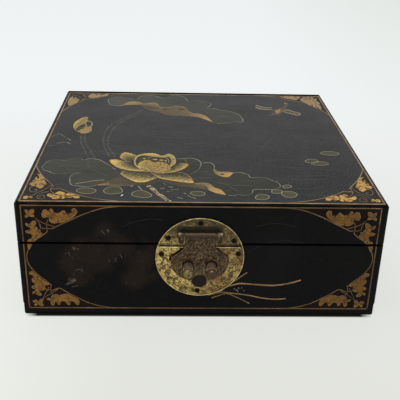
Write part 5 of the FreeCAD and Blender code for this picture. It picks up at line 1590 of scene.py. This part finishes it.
def plate_half(body, low, high, arc, cut, cut_width, cut_coat):
    """Punch marks, sprays, rim, and the cut's painted light: highlight on lower half, shadow on
    upper.
    """
    disc = ellipse(0, 0, PUNCHED_RADIUS, PUNCHED_RADIUS, turn_in(60))
    side = [(x, min(max(y, low), high)) for x, y in disc]
    marks = punched_face(side, engraved_and_shadow_dark, Spacing=1.1, Density=1.1, Radius=0.3, Height=0.03,
                         Seed=3)
    own = [line for line in sprays if all(low < y < high for _, y in line)]
    # The rim is rubbed brass and also a painted highlight on the plate's edge.
    rim = ellipse(0, 0, RIM_RING, RIM_RING, turn_in(60, *arc) + [arc[1]])
    reach = math.sqrt(CUT_REACH**2 - seam_level**2)
    on_metal(f"punch_marks_{body}", marks, plate_face, body, engraved_and_shadow_dark)
    for name, strokes, coat, width, height, taper, rounded in (
            ("engraved_sprays", own, engraved_and_shadow_dark, 0.55, 0.035, (0.7, 1.0, 0.5), True),
            ("plate_rim", [rim], rubbed_brass_and_highlight, 0.6, RIM_HEIGHT, EVEN, False),
            ("plate_cut_highlight_and_shadow", either_side(HASP_HALF, reach, cut), cut_coat, cut_width, 0.04, EVEN,
             False)):
        on_metal(f"{name}_{body}", drawn(strokes, coat, width, height, taper, rounded), plate_face,
                 body, coat)


# At the cut, the lower half gets a painted highlight below the split and the upper half a painted
# shadow above it.
lower_end, upper_end = [math.asin((seam_level + side * CUT_HALF) / RIM_RING) for side in (-1, 1)]
plate_half("base", -PLATE_RADIUS, seam_level - CUT_HALF,
           (math.pi - lower_end, math.tau + lower_end), seam_level - 2.5, 0.8, rubbed_brass_and_highlight)
plate_half("lid", seam_level + CUT_HALF, PLATE_RADIUS, (upper_end, math.pi - upper_end),
           seam_level + 0.75, 0.4, engraved_and_shadow_dark)
SPLIT = either_side(HASP_HALF, 34, seam_level - 1.3)
CRESCENTS = [
    [(-13.8, 8.8), (-17.9, 4.9), (-22.9, 1.0), (-24.4, -2.5)],
    [(13.4, 8.8), (17.5, 3.9), (21.7, 0), (23.2, -3.5)],
]
# Painted highlights: beside the tab, and along the lower half's top edge at the left.
PAINTED_HIGHLIGHTS = [
    [(-8.9, -22.4), (-8.2, -25), (-7.2, -27.3)], [(8.5, -22.4), (7.6, -25), (6, -27.3)],
    [(-33, 9.5), (-28, 9.3), (-22, 9.4), (-18, 8.6)],
]
for name, strokes, coat, width, height, taper, rounded in (
        ("split_shade", SPLIT, split_shade, 1.6, 0.045, EVEN, False),
        ("wing_shade", CRESCENTS, split_shade, 2.7, 0.045, (0.5, 1.0, 0.6), True),
        ("painted_highlights", PAINTED_HIGHLIGHTS, rubbed_brass_and_highlight, 1.1, 0.042, (0.6, 1.0, 0.4), True)):
    on_metal(name, drawn(strokes, coat, width, height, taper, rounded), plate_face, "base", coat)

# %% [markdown]
# ## Relief on the hasp
# The hasp is cast or chased with leaves and scrolls, worn soft and brighter on the ridges. The
# lines are swept with a rounded section, so the relief is real and shows in the mesh.

# %% Scrolls, leaf ribs and border of the hasp
hasp_face = face_frame((LOCK_X, -HALF_DEPTH - HASP_FACE_OUT, HASP_AXIS_Z), (1, 0, 0), (0, 0, 1))
RELIEF_HALF = [
    [(11, -3.6), (11.2, -8), (12, -11.6), (15.6, -15.8), (19.4, -18.6), (21.6, -21.4), (21.8, -26),
     (19.6, -31.6), (15.6, -36.6), (10.6, -40)],
    [(0.6, -7), (3.6, -7.2), (4, -10), (3.6, -13.6), (0.6, -13.8)],
    [(6.4, -5.6), (8.6, -8), (8.4, -12), (6.2, -14)],
    [(2, -14.6), (5.4, -16.4), (9.4, -15.6), (11, -18)],
    [(13.4, -18.6), (16.6, -21), (17.2, -25), (18.4, -29)],
    [(4, -19.4), (6.4, -21.6), (9.6, -22.2)], [(15.2, -20.2), (14.4, -23.4), (15.6, -27)],
    [(19.2, -22.4), (19.8, -26.4)], [(16.8, -33), (13.8, -36.8), (10, -38.4), (6, -38)],
    [(1.2, -37.2), (4, -37.6), (6.4, -36)], [(1.6, -21.4), (3.4, -24), (3.4, -30), (1.6, -31)],
    [(17.6, -29), (16.2, -32)],
]
relief = mirrored(RELIEF_HALF)
relief += [[(-1.4, -9), (0, -8.4), (1.4, -9), (1.4, -11.6), (0, -12.2), (-1.4, -11.6),
            (-1.4, -9.4)]]
medallions = [ellipse(x, y, r, r, turn_in(12) + [math.tau])
              for x, y, r in ((-0.2, -19.6, 2.0), (-1.2, -37.0, 1.8))]
# The short strokes between the studs are bright marks; the one right of the middle is a painted
# highlight.
medallions += [[(3.0, -30), (3.7, -33.5), (3.3, -37)], [(-4.6, -27.5), (-3.4, -31), (-3.2, -34)]]
for name, ridges, coat, width, height, taper in (
        ("hasp_relief", relief, relief_bronze, 0.95, 0.2, (0.6, 1.0, 0.6)),
        ("hasp_medallions_and_highlights", medallions, bright_relief_and_highlight, 0.7, 0.24, EVEN)):
    on_metal(name, drawn(ridges, coat, width, height, taper, tree=round_lines), hasp_face, "hasp",
             coat)
print("hasp relief:", len(relief), "ridges")

# %% [markdown]
# ## Floor, light and camera
# The box stands on a pale sweep in soft, even light from above. The floor's paleness comes from
# its own colour, and most of it is emission seen only by the camera and by reflections, so that no
# extra lamp is needed and the box keeps a faint shadow. Right under the front edge the real shadow
# is black, so a narrow dark strip is mixed in there. The world is pale to the camera too, and gives
# only part of the light.

# %% Floor
FLOOR_HALF, FLOOR_GLOW = 6.0, 0.82
PALE_FAR = (0.902, 0.932, 0.938)
floor_mesh = bpy.data.meshes.new("floor")
floor_mesh.from_pydata([(x, y, -0.0001) for x, y in oblong(-FLOOR_HALF, FLOOR_HALF, -FLOOR_HALF,
                                                           FLOOR_HALF)], [], [[0, 1, 2, 3]])
floor = bpy.data.objects.new("floor", floor_mesh)
bpy.context.collection.objects.link(floor)
paper = finish("pale_floor", (0.774, 0.78, 0.732), roughness=0.9, specular=0.0)
_, floor_x, floor_y, _ = places(paper)
far = band(floor_y, -300, 450)
contact_shadow = times(beside(floor_x, 0, 149, 139), band(floor_y, -157.9, -156.1),
            band(floor_y, -150, -152))
# The floor is paler and cooler towards the back. To the left it has a lighter patch, a painted pool
# of light, to the right a dimmer one, a painted shadow, and under the front edge a painted contact
# shadow.
tint(paper, (far, PALE_FAR),
     (times(band(floor_x, -60, -260), band(floor_y, 300, -100)), (0.895, 0.92, 0.87)),
     (times(band(floor_x, 150, 750), far), (0.79, 0.835, 0.79)), (contact_shadow, (0.01, 0.01, 0.009)))


def seen_directly(tree):
    """1 for the camera and for what mirrors and glass show, 0 for light on the object."""
    path = node(tree, "ShaderNodeLightPath")
    rays = [out(path, name) for name in ("Is Camera Ray", "Is Glossy Ray", "Is Transmission Ray")]
    return maths("MAXIMUM", maths("MAXIMUM", rays[0], rays[1]), rays[2])


tree = paper.node_tree
shader = tree.nodes["Principled BSDF"]
glow = node(tree, "ShaderNodeEmission", {"Color": shader.inputs["Base Color"].links[0].from_socket,
                                         "Strength": 1.0})
mixed = node(tree, "ShaderNodeMixShader", {0: times(seen_directly(tree), FLOOR_GLOW),
                                           1: shader.outputs[0], 2: out(glow)})
wire(tree, out(mixed), tree.nodes["Material Output"].inputs["Surface"])
floor_mesh.materials.append(paper)

# %% World and lamp
world = bpy.data.worlds.new("studio")
world.use_nodes = True
sky = world.node_tree
shining = sky.nodes["Background"]
shining.inputs["Color"].default_value = (0.97, 0.99, 1.0, 1)
shining.inputs["Strength"].default_value = 0.5
shown = node(sky, "ShaderNodeBackground", {"Color": (*PALE_FAR, 1), "Strength": 1.0})
sky_mix = node(sky, "ShaderNodeMixShader", {0: seen_directly(sky), 1: shining.outputs[0],
                                            2: out(shown)})
wire(sky, out(sky_mix), sky.nodes["World Output"].inputs["Surface"])
bpy.context.scene.world = world
lamp = bpy.data.lights.new("overhead", "AREA")
lamp.shape, lamp.size, lamp.energy = "SQUARE", 2.6, 30.0
holder = bpy.data.objects.new("overhead", lamp)
holder.location = (-0.3, -0.5, 2.0)
holder.rotation_euler = (-holder.location).to_track_quat("-Z", "Y").to_euler()
bpy.context.collection.objects.link(holder)
bpy.context.scene.view_settings.view_transform = "Standard"

# %% Camera
CAMERA_PLACE = Vector((-23.6, -659.1, 346.7)) * MM
PITCH, YAW, ROLL = math.radians(25.2), math.radians(2.36), math.radians(1.56)
forward = Vector((math.sin(YAW) * math.cos(PITCH), math.cos(YAW) * math.cos(PITCH),
                  -math.sin(PITCH)))
level = Vector((math.cos(YAW), -math.sin(YAW), 0))
upward = level.cross(forward)
right = level * math.cos(ROLL) + upward * math.sin(ROLL)
up = upward * math.cos(ROLL) - level * math.sin(ROLL)
lens = bpy.data.cameras.new("camera")
lens.lens, lens.sensor_width, lens.sensor_fit = 63.3, 36.0, "HORIZONTAL"
camera = bpy.data.objects.new("camera", lens)
camera.matrix_world = (Matrix.Translation(CAMERA_PLACE)
                       @ Matrix((right, up, -forward)).transposed().to_4x4())
bpy.context.collection.objects.link(camera)
bpy.context.scene.camera = camera
print("camera at", [round(c, 3) for c in camera.location])
